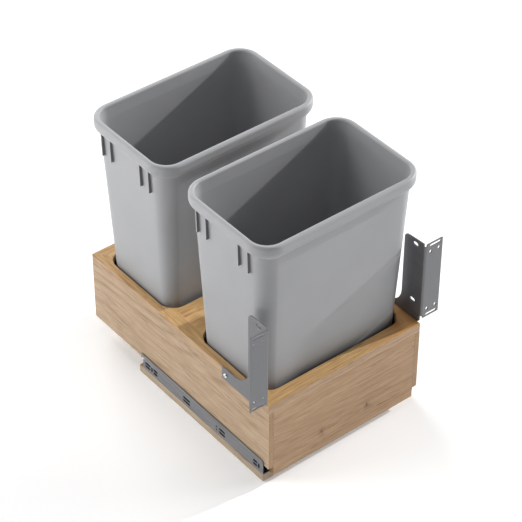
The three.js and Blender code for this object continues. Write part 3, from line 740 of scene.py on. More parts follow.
def srgb(red: float, green: float, blue: float) -> Colour:
    """Turns a display colour into a linear one with alpha 1.

    Args:
        red: Red from 0 to 255.
        green: Green from 0 to 255.
        blue: Blue from 0 to 255.

    Returns:
        The linear colour.
    """
    value = np.array([red, green, blue]) / 255
    linear = np.where(value <= 0.04045, value / 12.92, ((value + 0.055) / 1.055) ** 2.4)
    return (*(float(v) for v in linear), 1.0)


class Graph:
    """Short way to add nodes to a node tree and join them."""

    def __init__(self, tree: bpy.types.NodeTree) -> None:
        """Works on a tree."""
        self.tree = tree

    def node(self, kind: str, values: Values | None = None, **settings: object) -> bpy.types.Node:
        """Adds a node.

        Args:
            kind: Node type, without its "ShaderNode" prefix.
            values: Value or socket for each input, by name or index.
            settings: Properties of the node.

        Returns:
            The node.
        """
        made = self.tree.nodes.new("ShaderNode" + kind)
        for name, value in settings.items():
            setattr(made, name, value)
        for key, value in (values or {}).items():
            self.feed(made.inputs[key], value)
        return made

    def feed(self, target: Socket, value: object) -> None:
        """Joins a socket to an input, or sets the input's value.

        Args:
            target: The input.
            value: A socket or a value.
        """
        if isinstance(value, bpy.types.NodeSocket):
            self.tree.links.new(value, target)
        else:
            target.default_value = value

    def math(self, operation: str, a: object, b: object = 0.0, c: object = 0.0,
             clamp: bool = False) -> Socket:
        """One step of arithmetic."""
        made = self.node("Math", {0: a, 1: b, 2: c}, operation=operation, use_clamp=clamp)
        return made.outputs[0]

    def fit(self, value: object, low: float, high: float, to_low: float = 0.0,
            to_high: float = 1.0) -> Socket:
        """A value carried smoothly from one range to another, and held at its ends."""
        made = self.node("MapRange", {0: value, 1: low, 2: high, 3: to_low, 4: to_high},
                         interpolation_type="SMOOTHSTEP")
        return made.outputs[0]

    def mix(self, share: object, a: object, b: object) -> Socket:
        """Mix of two colours."""
        made = self.node("Mix", {0: share, 6: a, 7: b}, data_type="RGBA")
        return made.outputs[2]

    def stretched(self, vector: Socket, x: float, y: float, z: float) -> Socket:
        """Coordinates multiplied by a number along each axis."""
        made = self.node("VectorMath", {0: vector, 1: (x, y, z)}, operation="MULTIPLY")
        return made.outputs[0]

    def noise(self, vector: Socket, detail: float = 2.0, rough: float = 0.5, scale: object = 1.0) -> Socket:
        """Noise from 0 to 1, with a scale's number of bumps per unit of the coordinates."""
        made = self.node("TexNoise", {"Vector": vector, "Scale": scale, "Detail": detail, "Roughness": rough})
        return made.outputs[0]

    def ramp(self, value: Socket, stops: Sequence[tuple[float, float]]) -> Socket:
        """A value sent through straight runs between stops.

        Args:
            value: The value.
            stops: Place and brightness of each stop.

        Returns:
            The brightness.
        """
        made = self.node("ValToRGB", {0: value})
        row = made.color_ramp.elements
        for index, (place, bright) in enumerate(stops):
            stop = row[index] if index < 2 else row.new(place)
            stop.position = place
            stop.color = (bright, bright, bright, 1)
        return made.outputs[0]


class Effect:
    """Node group with named inputs and outputs, built once and placed in many materials.

    Attributes:
        name: Name of the group.
        takes: Kind and usual value of each input, by name.
        gives: Kind of each output, by name.
    """

    name: str
    takes: dict[str, tuple[str, object]]
    gives: dict[str, str]

    def tree(self) -> bpy.types.NodeTree:
        """The group, built when it is first asked for.

        Returns:
            Its node tree.
        """
        found = bpy.data.node_groups.get(self.name)
        if found is not None:
            return found
        made = bpy.data.node_groups.new(self.name, "ShaderNodeTree")
        for name, (kind, usual) in self.takes.items():
            socket = made.interface.new_socket(name=name, in_out="INPUT", socket_type="NodeSocket" + kind)
            socket.default_value = usual
        for name, kind in self.gives.items():
            made.interface.new_socket(name=name, in_out="OUTPUT", socket_type="NodeSocket" + kind)
        given = made.nodes.new("NodeGroupInput")
        out = made.nodes.new("NodeGroupOutput")
        graph = Graph(made)
        for name, value in self.results(graph, given.outputs).items():
            graph.feed(out.inputs[name], value)
        return made

    def results(self, g: Graph, given: bpy.types.bpy_prop_collection) -> dict[str, Socket]:
        """Adds the group's nodes.

        Args:
            g: The group's graph.
            given: The group's inputs.

        Returns:
            The socket that feeds each output.
        """
        raise NotImplementedError

    def placed(self, graph: Graph, values: Values) -> bpy.types.Node:
        """Places the group in a material with its own values.

        Args:
            graph: The material's graph.
            values: Value or socket for each input.

        Returns:
            The group's node.
        """
        made = graph.tree.nodes.new("ShaderNodeGroup")
        made.node_tree = self.tree()
        for key, value in values.items():
            graph.feed(made.inputs[key], value)
        return made


class WoodGrain(Effect):
    """Straight-grained light hardwood, with the grain along the coordinates' x.

    Growth rings are rounds about a far-off line that leans a little to the board, so that they run as
    long flames. Fibres, streaks and pores are noise drawn out along the grain.
    """

    name = "wood_grain"
    takes = {
        "Vector": ("Vector", (0.0, 0.0, 0.0)), "Pale": ("Color", (0.7, 0.5, 0.32, 1)),
        "Deep": ("Color", (0.45, 0.28, 0.15, 1)), "Ring": ("Float", 0.006), "Flame": ("Float", 0.4),
        "Contrast": ("Float", 1.0),
    }
    gives = {"Color": "Color", "Roughness": "Float", "Height": "Float"}

    def results(self, g: Graph, given: bpy.types.bpy_prop_collection) -> dict[str, Socket]:
        """Adds the group's nodes.

        Args:
            g: The group's graph.
            given: The group's inputs.

        Returns:
            The socket that feeds each output.
        """
        vector = given["Vector"]
        sway = g.noise(g.stretched(vector, 2.2, 6.0, 6.0), 1.0)
        sway = g.math("MULTIPLY", g.math("SUBTRACT", sway, 0.5), 0.04)
        shake = g.noise(g.stretched(vector, 24.0, 90.0, 90.0), 1.0)
        sway = g.math("MULTIPLY_ADD", g.math("SUBTRACT", shake, 0.5), 0.0012, sway)
        parts = g.node("SeparateXYZ", {0: vector})
        lean = g.math("MULTIPLY_ADD", parts.outputs[0], 0.11, 0.07)
        across = g.math("ADD", parts.outputs[1], sway)
        deep = g.math("ADD", parts.outputs[2], lean)
        far = g.math("MULTIPLY_ADD", across, across, g.math("MULTIPLY", deep, deep))
        ring = g.math("FRACT", g.math("DIVIDE", g.math("SQRT", far), given["Ring"]))
        ring = g.ramp(ring, [(0.0, 0.3), (1.0, 0.3), (0.2, 0.0), (0.62, 0.25), (0.84, 1.0), (0.93, 0.9)])
        patch = g.fit(g.noise(g.stretched(vector, 3.6, 20.0, 20.0), 2.0), 0.40, 0.66, 0.05, 1.0)
        fibre = g.noise(g.stretched(vector, 26.0, 560.0, 560.0), 2.0, 0.6)
        streak = g.noise(g.stretched(vector, 12.0, 300.0, 300.0), 2.0, 0.6)
        band = g.noise(g.stretched(vector, 5.0, 85.0, 85.0), 2.0, 0.5)
        tone = g.noise(g.stretched(vector, 2.0, 14.0, 14.0), 2.0)
        dash = g.fit(g.noise(g.stretched(vector, 36.0, 430.0, 430.0), 1.0), 0.60, 0.70)
        crowd = g.fit(g.noise(g.stretched(vector, 6.0, 30.0, 30.0), 1.0), 0.45, 0.66)
        depth = g.math("MULTIPLY", g.math("MULTIPLY", ring, patch), given["Flame"])
        for noise, weight in ((streak, 1.1), (fibre, 1.2), (band, 0.45), (tone, 0.45)):
            depth = g.math("MULTIPLY_ADD", g.math("SUBTRACT", noise, 0.5), weight, depth)
        depth = g.math("MULTIPLY_ADD", g.math("MULTIPLY", dash, crowd), 0.6, depth)
        depth = g.math("MULTIPLY", depth, given["Contrast"])
        depth = g.math("ADD", depth, 0.25, clamp=True)
        pores = g.math("MULTIPLY", dash, 0.8)
        return {
            "Color": g.mix(depth, given["Pale"], given["Deep"]),
            "Roughness": g.math("MULTIPLY_ADD", fibre, 0.18, 0.42),
            "Height": g.math("SUBTRACT", g.math("MULTIPLY", fibre, 0.4), pores),
        }


class Knot(Effect):
    """Small dark knot in a board, with a brown ring drawn out along the grain."""

    name = "pin_knot"
    takes = {
        "Vector": ("Vector", (0.0, 0.0, 0.0)), "Centre": ("Vector", (0.0, 0.0, 0.0)),
        "Size": ("Float", 0.004),
    }
    gives = {"Core": "Float", "Ring": "Float"}

    def results(self, g: Graph, given: bpy.types.bpy_prop_collection) -> dict[str, Socket]:
        """Adds the group's nodes.

        Args:
            g: The group's graph.
            given: The group's inputs.

        Returns:
            The socket that feeds each output.
        """
        away = g.node("VectorMath", {0: given["Vector"], 1: given["Centre"]}, operation="SUBTRACT")
        flat = g.stretched(away.outputs[0], 0.5, 1.0, 0.3)
        wobble = g.noise(g.stretched(given["Vector"], 300.0, 300.0, 300.0), 1.0)
        length = g.node("VectorMath", {0: flat}, operation="LENGTH").outputs["Value"]
        length = g.math("DIVIDE", length, given["Size"])
        length = g.math("ADD", length, g.math("SUBTRACT", wobble, 0.5))
        return {"Core": g.fit(length, 0.35, 0.8, 1.0, 0.0), "Ring": g.fit(length, 0.7, 2.6, 1.0, 0.0)}


class FineGrit(Effect):
    """Fine even texture of moulded plastic or a sprayed coat, with slow changes of tone."""

    name = "fine_grit"
    takes = {"Vector": ("Vector", (0.0, 0.0, 0.0)), "Grit": ("Float", 1200.0), "Cloud": ("Float", 9.0)}
    gives = {"Tone": "Float", "Speck": "Float", "Height": "Float"}

    def results(self, g: Graph, given: bpy.types.bpy_prop_collection) -> dict[str, Socket]:
        """Adds the group's nodes.

        Args:
            g: The group's graph.
            given: The group's inputs.

        Returns:
            The socket that feeds each output.
        """
        fine = g.noise(given["Vector"], 2.0, 0.6, given["Grit"])
        cloud = g.noise(given["Vector"], 3.0, 0.5, given["Cloud"])
        return {"Tone": g.fit(cloud, 0.25, 0.75), "Speck": g.fit(fine, 0.35, 0.7), "Height": fine}


class SheetStreaks(Effect):
    """Rolled sheet metal: long faint streaks along the coordinates' x, and small bright flecks."""

    name = "sheet_streaks"
    takes = {"Vector": ("Vector", (0.0, 0.0, 0.0))}
    gives = {"Streak": "Float", "Fleck": "Float", "Height": "Float"}

    def results(self, g: Graph, given: bpy.types.bpy_prop_collection) -> dict[str, Socket]:
        """Adds the group's nodes.

        Args:
            g: The group's graph.
            given: The group's inputs.

        Returns:
            The socket that feeds each output.
        """
        streak = g.noise(g.stretched(given["Vector"], 12.0, 900.0, 900.0), 3.0, 0.6)
        fleck = g.noise(g.stretched(given["Vector"], 500.0, 500.0, 500.0), 2.0)
        return {"Streak": g.fit(streak, 0.3, 0.7), "Fleck": g.fit(fleck, 0.5, 0.75), "Height": streak}


WOOD_GRAIN = WoodGrain()
KNOT = Knot()
FINE_GRIT = FineGrit()
SHEET_STREAKS = SheetStreaks()


class Grain(Enum):
    """Direction of a board's grain, as the turn that brings it onto the texture's x."""

    ALONG_X = (0.0, 0.0, 0.0)
    ALONG_Y = (0.0, 0.0, -math.pi / 2)


WOOD_GLOSS = 0.35
WOOD_RELIEF = (0.25, 0.0002)
PLASTIC_RELIEF = (0.2, 0.00015)
METAL_RELIEF = (0.12, 0.0001)


def surface(name: str) -> tuple[bpy.types.Material, Graph, bpy.types.Node, Socket]:
    """An empty material.

    Args:
        name: Its name.

    Returns:
        The material, its graph, its Principled node and its Object coordinates.
    """
    made = bpy.data.materials.new(name)
    made.use_nodes = True
    g = Graph(made.node_tree)
    shader = made.node_tree.nodes["Principled BSDF"]
    where = g.node("TexCoord").outputs["Object"]
    return made, g, shader, where


def finished(graph: Graph, shader: bpy.types.Node, values: Values, height: Socket, relief: Relief) -> None:
    """Feeds a shader's inputs, and a height into its normal.

    Args:
        graph: The material's graph.
        shader: Its Principled node.
        values: Socket or value for each input, by name.
        height: Height of the surface texture.
        relief: Strength of the texture, and its depth in metres.
    """
    for name, value in values.items():
        graph.feed(shader.inputs[name], value)
    strength, depth = relief
    bump = graph.node("Bump", {"Strength": strength, "Distance": depth, "Height": height})
    graph.feed(shader.inputs["Normal"], bump.outputs[0])


@dataclass(frozen=True)
class WoodFinish:
    """Matt lacquered light hardwood.

    Attributes:
        name: Name of the material.
        grain: Direction of the grain.
        offset: Where in the tree the board is cut, in metres.
        pale: Colour between the rings.
        deep: Colour of rings, fibres and pores.
        ring: Width of a growth ring, in metres.
        flame: Strength of the growth rings.
        contrast: Strength of the whole figure.
        tilt: Small turn of the grain in the board's plane, in radians.
        knots: Places of small knots in the part's frame, in metres.
        knot_size: Size of a knot, in metres.
        knot_tones: Strength and colour of a knot's ring and of its core.
        end_y: Distance from the middle to the end faces along y, in metres, or zero to leave them alone.
        end: Pale and deep colours of the end faces.
        arris: Colour of the painted highlight along the eased edge beside them.
        arris_width: Width of that painted highlight, in metres.
        arris_strength: Share of that highlight colour on it.
    """

    name: str
    grain: Grain
    offset: Point
    pale: Colour
    deep: Colour
    ring: float = 0.007
    flame: float = 0.4
    contrast: float = 1.0
    tilt: float = 0.0
    knots: tuple[Point, ...] = ()
    knot_size: float = 0.0022
    knot_tones: tuple[tuple[float, Colour], ...] = ((0.35, srgb(130, 98, 68)), (0.6, srgb(74, 56, 40)))
    end_y: float = 0.0
    end: tuple[Colour, ...] = ()
    arris: Colour = srgb(222, 196, 160)
    arris_width: float = 0.0024
    arris_strength: float = 0.45

    def vector(self, graph: Graph, where: Socket) -> Socket:
        """Turns coordinates so that x runs along the grain.

        Args:
            graph: The material's graph.
            where: Object coordinates.

        Returns:
            The turned coordinates.
        """
        turn = (*self.grain.value[:2], self.grain.value[2] + self.tilt)
        made = graph.node("Mapping", {"Vector": where, "Location": self.offset, "Rotation": turn})
        return made.outputs[0]

    def grained(self, graph: Graph, where: Socket, pale: object, deep: object) -> bpy.types.Node:
        """Places the wood grain for this board.

        Args:
            graph: The material's graph.
            where: Object coordinates.
            pale: Colour between the rings.
            deep: Colour of rings and pores.

        Returns:
            The grain's node.
        """
        return WOOD_GRAIN.placed(graph, {
            "Vector": self.vector(graph, where), "Pale": pale, "Deep": deep,
            "Ring": self.ring, "Flame": self.flame, "Contrast": self.contrast,
        })

    def material(self) -> bpy.types.Material:
        """Builds the material.

        Returns:
            The material.
        """
        made, g, shader, where = surface(self.name)
        pale, deep, arris = self.pale, self.deep, None
        if self.end_y:
            away = g.math("ABSOLUTE", g.node("SeparateXYZ", {0: where}).outputs[1])
            on_end = g.math("GREATER_THAN", away, self.end_y - 0.0002)
            pale = g.mix(on_end, pale, self.end[0])
            deep = g.mix(on_end, deep, self.end[1])
            # Painted highlight: a pale band on the faces next to each end face, along the eased edge.
            start = self.end_y - self.arris_width
            arris = g.fit(away, start, start + 0.001, 0.0, self.arris_strength)
            arris = g.math("SUBTRACT", arris, on_end, clamp=True)
        wood = self.grained(g, where, pale, deep)
        colour = wood.outputs["Color"]
        if arris is not None:
            colour = g.mix(arris, colour, self.arris)
        for place in self.knots:
            knot = KNOT.placed(g, {"Vector": where, "Centre": place, "Size": self.knot_size})
            for name, (strength, tone) in zip(("Ring", "Core"), self.knot_tones):
                colour = g.mix(g.math("MULTIPLY", knot.outputs[name], strength), colour, tone)
        rough = wood.outputs["Roughness"]
        values = {"Base Color": colour, "Roughness": rough, "Specular IOR Level": WOOD_GLOSS}
        finished(g, shader, values, wood.outputs["Height"], WOOD_RELIEF)
        return made


@dataclass(frozen=True)
class TopFinish:
    """Top board glued up from strips: two along the sides, and cross pieces between them.

    Attributes:
        name: Name of the material.
        joint_x: Distance from the middle to the joints along the sides, in metres.
        joint_ys: Places of the joints between cross pieces, in metres.
        stile: Finish of the strips along the sides.
        cross: Finish of the cross pieces.
        edge: Pale and deep colours of the board's edges.
        edge_z: Height under which a point is on an edge, in metres.
        mitre_y: Where the joints turn outward to the corners, in metres from the middle.
        mitre_slope: How far they run outward for each metre along y.
        seam: Place of the front edge along y and height of the painted highlight along its lower eased edge,
            in metres.
        seam_width: Width of that painted highlight, in metres.
        seam_tone: Strength and colour of that painted highlight.
        line: Distances from a joint at which its line starts and stops fading, in metres.
        line_tone: Strength and colour of the lines.
        step: How far along x and y the wood jumps at the first joint between cross pieces, in metres.
        painted_shadow_x: Where the painted shadow on the right of the top starts and is full, in metres.
        painted_shadow_tone: Strength and colour of that painted shadow, a darker and warmer tone.
    """

    name: str
    joint_x: float
    joint_ys: tuple[float, ...]
    stile: WoodFinish
    cross: WoodFinish
    edge: tuple[Colour, Colour]
    edge_z: float
    mitre_y: float = 0.2485
    mitre_slope: float = 0.95
    seam: tuple[float, float] = (-0.2778, 0.1832)
    seam_width: float = 0.0012
    seam_tone: tuple[float, Colour] = (0.75, srgb(226, 200, 166))
    line: tuple[float, float] = (0.0002, 0.0007)
    line_tone: tuple[float, Colour] = (0.35, srgb(224, 192, 142))
    step: tuple[float, float] = (0.4, 0.13)
    painted_shadow_x: tuple[float, float] = (0.02, 0.17)
    painted_shadow_tone: tuple[float, Colour] = (0.55, srgb(196, 136, 74))

    def material(self) -> bpy.types.Material:
        """Builds the material: each strip has its own grain, and each joint a thin line.

        Returns:
            The material.
        """
        made, g, shader, where = surface(self.name)
        place = g.node("SeparateXYZ", {0: where})
        from_middle = g.math("ABSOLUTE", place.outputs[0])
        past = g.math("SUBTRACT", g.math("ABSOLUTE", place.outputs[1]), self.mitre_y)
        reach = g.math("MULTIPLY_ADD", g.math("MAXIMUM", past, 0.0), self.mitre_slope, self.joint_x)
        on_stile = g.math("GREATER_THAN", from_middle, reach)
        on_top = g.math("GREATER_THAN", place.outputs[2], self.edge_z)
        tones = [[g.mix(on_top, self.edge[i], own) for i, own in enumerate((wood.pale, wood.deep))]
                 for wood in (self.stile, self.cross)]
        along = self.stile.grained(g, where, *tones[0])
        behind = g.math("GREATER_THAN", place.outputs[1], self.joint_ys[0])
        shift = g.node("CombineXYZ", {i: g.math("MULTIPLY", behind, far) for i, far in enumerate(self.step)})
        moved = g.node("VectorMath", {0: where, 1: shift.outputs[0]}, operation="ADD").outputs[0]
        across = self.cross.grained(g, moved, *tones[1])
        colour = g.mix(on_stile, across.outputs["Color"], along.outputs["Color"])
        gap = g.math("ABSOLUTE", g.math("SUBTRACT", from_middle, reach))
        line = g.fit(gap, *self.line, 1.0, 0.0)
        for joint in self.joint_ys:
            near = g.math("ABSOLUTE", g.math("SUBTRACT", place.outputs[1], joint))
            between = g.math("SUBTRACT", 1.0, on_stile)
            cross_line = g.math("MULTIPLY", g.fit(near, *self.line, 1.0, 0.0), between)
            line = g.math("MAXIMUM", line, cross_line)
        line = g.math("MULTIPLY", line, on_top)
        colour = g.mix(g.math("MULTIPLY", line, self.line_tone[0]), colour, self.line_tone[1])
        # Painted shadow: the top is darker and warmer towards its right, where it lies in shade.
        painted_shadow = g.fit(place.outputs[0], *self.painted_shadow_x, 0.0, self.painted_shadow_tone[0])
        colour = g.mix(g.math("MULTIPLY", painted_shadow, on_top), colour, self.painted_shadow_tone[1])
        # Painted highlight: a pale line along the lower eased edge of the board's front face.
        front_y, low = self.seam
        in_front = g.math("LESS_THAN", place.outputs[1], front_y)
        seam = g.fit(place.outputs[2], low, low + self.seam_width, self.seam_tone[0], 0.0)
        colour = g.mix(g.math("MULTIPLY", seam, in_front), colour, self.seam_tone[1])
        rough = along.outputs["Roughness"]
        values = {"Base Color": colour, "Roughness": rough, "Specular IOR Level": WOOD_GLOSS}
        finished(g, shader, values, g.math("SUBTRACT", along.outputs["Height"], line), WOOD_RELIEF)
        return made


@dataclass(frozen=True)
class PlasticFinish:
    """Moulded matt plastic.

    Attributes:
        name: Name of the material.
        low: Colour where the tone is darkest.
        high: Colour where the tone is palest.
        rough: Mean roughness.
        grit: Fineness of the surface texture.
        level: Strength of the reflection.
        painted_shade: Share of painted shade on faces square to y, for the shaded sides of narrow fins.
        painted_shade_tone: Colour of that painted shade.
    """

    name: str
    low: Colour
    high: Colour
    rough: float = 0.5
    grit: float = 1400.0
    level: float = 0.4
    painted_shade: float = 0.0
    painted_shade_tone: Colour = srgb(24, 24, 25)

    def material(self) -> bpy.types.Material:
        """Builds the material.

        Returns:
            The material.
        """
        made, g, shader, where = surface(self.name)
        grit = FINE_GRIT.placed(g, {"Vector": where, "Grit": self.grit, "Cloud": 7.0})
        colour = g.mix(grit.outputs["Tone"], self.low, self.high)
        # Painted shade: faces square to y are darkened towards a near-black tone.
        if self.painted_shade:
            facing = g.node("SeparateXYZ", {0: g.node("NewGeometry").outputs["Normal"]})
            shade_share = g.fit(g.math("ABSOLUTE", facing.outputs[1]), 0.6, 0.9, 0.0, self.painted_shade)
            colour = g.mix(shade_share, colour, self.painted_shade_tone)
        rough = g.math("MULTIPLY_ADD", grit.outputs["Speck"], 0.08, self.rough - 0.04)
        values = {"Base Color": colour, "Roughness": rough, "Specular IOR Level": self.level}
        finished(g, shader, values, grit.outputs["Height"], PLASTIC_RELIEF)
        return made


@dataclass(frozen=True)
class MetalFinish:
    """Plated or coated sheet metal.

    Attributes:
        name: Name of the material.
        low: Colour of the darker streaks.
        high: Colour of the paler streaks.
        metallic: How metallic it is.
        rough: Mean roughness.
        grain: Direction of the streaks.
        fleck: Strength of the small bright flecks.
        level: Strength of the reflection.
    """

    name: str
    low: Colour
    high: Colour
    metallic: float = 0.8
    rough: float = 0.4
    grain: Grain = Grain.ALONG_Y
    fleck: float = 0.25
    level: float = 0.5

    def material(self) -> bpy.types.Material:
        """Builds the material.

        Returns:
            The material.
        """
        made, g, shader, where = surface(self.name)
        turned_way = g.node("Mapping", {"Vector": where, "Rotation": self.grain.value}).outputs[0]
        streak = SHEET_STREAKS.placed(g, {"Vector": turned_way})
        colour = g.mix(streak.outputs["Streak"], self.low, self.high)
        bright = g.math("MULTIPLY", streak.outputs["Fleck"], self.fleck)
        colour = g.mix(bright, colour, self.high)
        values = {
            "Base Color": colour, "Metallic": self.metallic, "Specular IOR Level": self.level,
            "Roughness": g.math("MULTIPLY_ADD", streak.outputs["Streak"], 0.12, self.rough - 0.06),
        }
        finished(g, shader, values, streak.outputs["Height"], METAL_RELIEF)
        return made


# Bins


@dataclass
class Bin:
    """Tapered tub of rounded-rectangle section, with a flared collar, a rolled rim and handle fins.

    Attributes:
        stand: Height that the bins stand at.
        rim_x: Size over the rim along x.
        rim_y: Size over the rim along y.
        height: Height over all.
        top_core: Inset plus corner radius of the wall at its top.
        bottom_core: Inset plus corner radius of the wall at its bottom.
        wall_top: Height of the plain wall's top.
        inset_top: Inset of the plain wall at its top.
        inset_bottom: Inset of the plain wall at its bottom.
        wall: Thickness of the wall.
        floor: Thickness of the floor.
        foot_inset: Inset of the recess under the floor.
        foot_depth: Depth of that recess.
        band: Width of the rim seen from above.
        collar: Height of the flare from the wall out to the rim's outline.
        fin_ys: Places of the fins on each end.
        fin_thick: Thickness of a fin.
        fin_reach: From the wall to a fin's free edge, at its lower end.
        fin_slope: How much the reach falls as the fin rises.
        fin_drop: From the rim's top to a fin's lower end.
        fin_top: From the rim's top to its upper end, inside the collar.
        fin_fillet: Leg of the fillet where it meets the wall.
        fin_ease: Radius of its lower edge.
        fin_root: How deep it is sunk into the wall.
    """

    stand: float = 52.0
    rim_x: float = 378.0
    rim_y: float = 242.5
    height: float = 499.0
    top_core: float = 46.0
    bottom_core: float = 56.5
    wall_top: float = 468.0
    inset_top: float = 11.0
    inset_bottom: float = 32.5
    wall: float = 2.8
    floor: float = 7.0
    foot_inset: float = 44.0
    foot_depth: float = 4.0
    band: float = 10.8
    collar: float = 11.5
    fin_ys: tuple[float, ...] = (-69.5, -42.5, 49.5, 76.5)
    fin_thick: float = 3.2
    fin_reach: float = 6.2
    fin_slope: float = 0.02
    fin_drop: float = 78.0
    fin_top: float = 12.0
    fin_fillet: float = 0.8
    fin_ease: float = 0.5
    fin_root: float = 1.3

    def inset(self, z: float | np.ndarray, depth: float = 0.0) -> float | np.ndarray:
        """Inset of the plain wall's outer face at a height, plus a depth into it."""
        return self.inset_top + (self.inset_bottom - self.inset_top) * (1 - z / self.wall_top) + depth

    def profile(self) -> np.ndarray:
        """Section of the tub, from under the floor over the rim to the floor inside.

        Corners are softened, and the long walls have points along them.

        Returns:
            Rows of inset from the rim's outline and height.
        """
        top, low, high = self.height, self.wall_top - 1.5, self.wall_top + 4
        at, foot = self.inset, self.foot_inset
        inside_foot = at(self.floor, self.wall)
        levels = np.linspace(24, low - 24, 11)
        outer = [(float(at(z)), float(z), 0.0) for z in levels]
        inner = [(float(at(z, self.wall)), float(z), 0.0) for z in levels[::-1]]
        rows = [
            (foot + 4.5, self.foot_depth, 0.0), (foot + 2.5, self.foot_depth, 1.0), (foot, 0.0, 1.5),
            (at(0.0), 0.0, 5.2), *outer,
            (at(low), low, 3.0), (0.0, low + self.collar, 6.5), (0.0, top, 5.6), (self.band, top, 3.4),
            (at(high, self.wall), high, 2.0), *inner,
            (inside_foot, self.floor, 7.0), (inside_foot + 14, self.floor, 0.0),
        ]
        table = np.array(rows, float)
        return softened(table[:, :2], table[:, 2], steps=7, hold=0.5, closed=False)

    def shell(self) -> Skin:
        """The tub without its fins.

        At each profile row the section is a rounded rectangle. Its core's half size is the rim's half size
        less k, and its corner radius is k less the inset. k goes evenly from the wall's bottom to its top.

        Returns:
            The closed surface, centred on the z axis and standing at z = 0.
        """
        path = self.profile()
        share = np.clip(path[:, 1] / self.wall_top, 0, 1)
        k = self.bottom_core + (self.top_core - self.bottom_core) * share
        core = np.stack([self.rim_x / 2 - k, self.rim_y / 2 - k], axis=-1)
        plan = RoundedPlan.make(14, 16, 10)
        return lofted(plan.rings(core, k - path[:, 0], path[:, 1]))

    def fin(self) -> Skin:
        """One fin in the middle of the left end: an upright gusset on the plain wall, under the collar.

        Each level section runs out from the wall along one side of the fin and back along the other, with
        a fillet at the wall and round corners at the free edge. A point of it lies p out from the wall and
        q along it. The lowest levels shrink by e (1 - sin a) while they rise by e (1 - cos a).

        Returns:
            The closed surface.
        """
        fillet, ease, root = self.fin_fillet, self.fin_ease, self.fin_root
        foot = self.height - self.fin_drop
        turn = np.linspace(0, 1, 5) * math.pi / 2
        low = np.stack([1 - np.sin(turn), 1 - np.cos(turn)], axis=-1) * ease
        upper = [(0.0, up) for up in (ease + 0.3, 12.0, 24.0, 36.0, self.fin_drop - self.fin_top)]
        rows = []
        for less, up in np.concatenate([[(ease + 0.3, 0.0)], low, upper]):
            reach = self.fin_reach - self.fin_slope * up - less
            wide = self.fin_thick / 2 - less
            half = [(-root, -wide - fillet), (0.0, -wide - fillet), (0.0, -wide), (reach, -wide)]
            corners = half + [(p, -q) for p, q in half[::-1]]
            cuts = (0.0, 0.0, fillet - 0.2, 0.6, 0.6, fillet - 0.2, 0.0, 0.0)
            section = softened(corners, cuts, steps=4, hold=0.15)[::-1]
            x = -self.rim_x / 2 + float(self.inset(foot + up)) - section[:, 0]
            rows.append(np.stack([x, section[:, 1], np.full(len(x), foot + up)], axis=-1))
        return lofted(np.array(rows))

    def fins(self) -> Skin:
        """The fins of both ends."""
        fin = self.fin()
        return joined([fin.mirrored(side).moved(y=y) for side in Side for y in self.fin_ys])

    def build(self) -> None:
        """Makes both bins."""
        tones = {"low": srgb(158, 159, 161), "high": srgb(164, 165, 167)}
        plain = PlasticFinish("bin_plastic", **tones).material()
        # The fins' sides get painted shade: their faces square to y are drawn darker.
        shaded_fin_plastic = PlasticFinish("bin_fin_plastic", **tones, painted_shade=0.6).material()
        parts = [(self.shell(), plain), (self.fins(), shaded_fin_plastic)]
        for node, y in BIN_YS.items():
            placed = [(skin.moved(y=y, z=self.stand), plastic) for skin, plastic in parts]
            Piece(f"{node}_tub", node, node, "bin_plastic", placed).build()


# Boards


@dataclass
class Board:
    """One wooden board with lightly eased edges.

    Attributes:
        node: CAD node that it stands for, which also gives its box.
        body: CAD body that it rides on.
        normal: Axis of its thickness.
        finish: Its wood.
        slot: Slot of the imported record.
        edge: Finish of its edges.
        holes: Hole loops in plan.
    """

    node: str
    body: str
    normal: Normal
    finish: WoodFinish | TopFinish
    slot: str = "wood"
    edge: Edge = SOFT
    holes: list[Loop] = field(default_factory=list)

    def build(self) -> None:
        """Makes the board to fill its CAD node's box."""
        low, high = (np.array(corner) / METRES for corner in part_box(self.node))
        across = self.normal.value
        plan = [axis for axis in range(3) if axis != across]
        outline = Loop(rectangle(*low[plan], *high[plan]), self.edge, self.edge)
        plate = Plate(outline, self.holes, float(low[across]), float(high[across]))
        parts = [(plate.skin(self.normal.place), self.finish.material())]
        Piece(f"{self.node}_board", self.body, self.node, self.slot, parts).build()


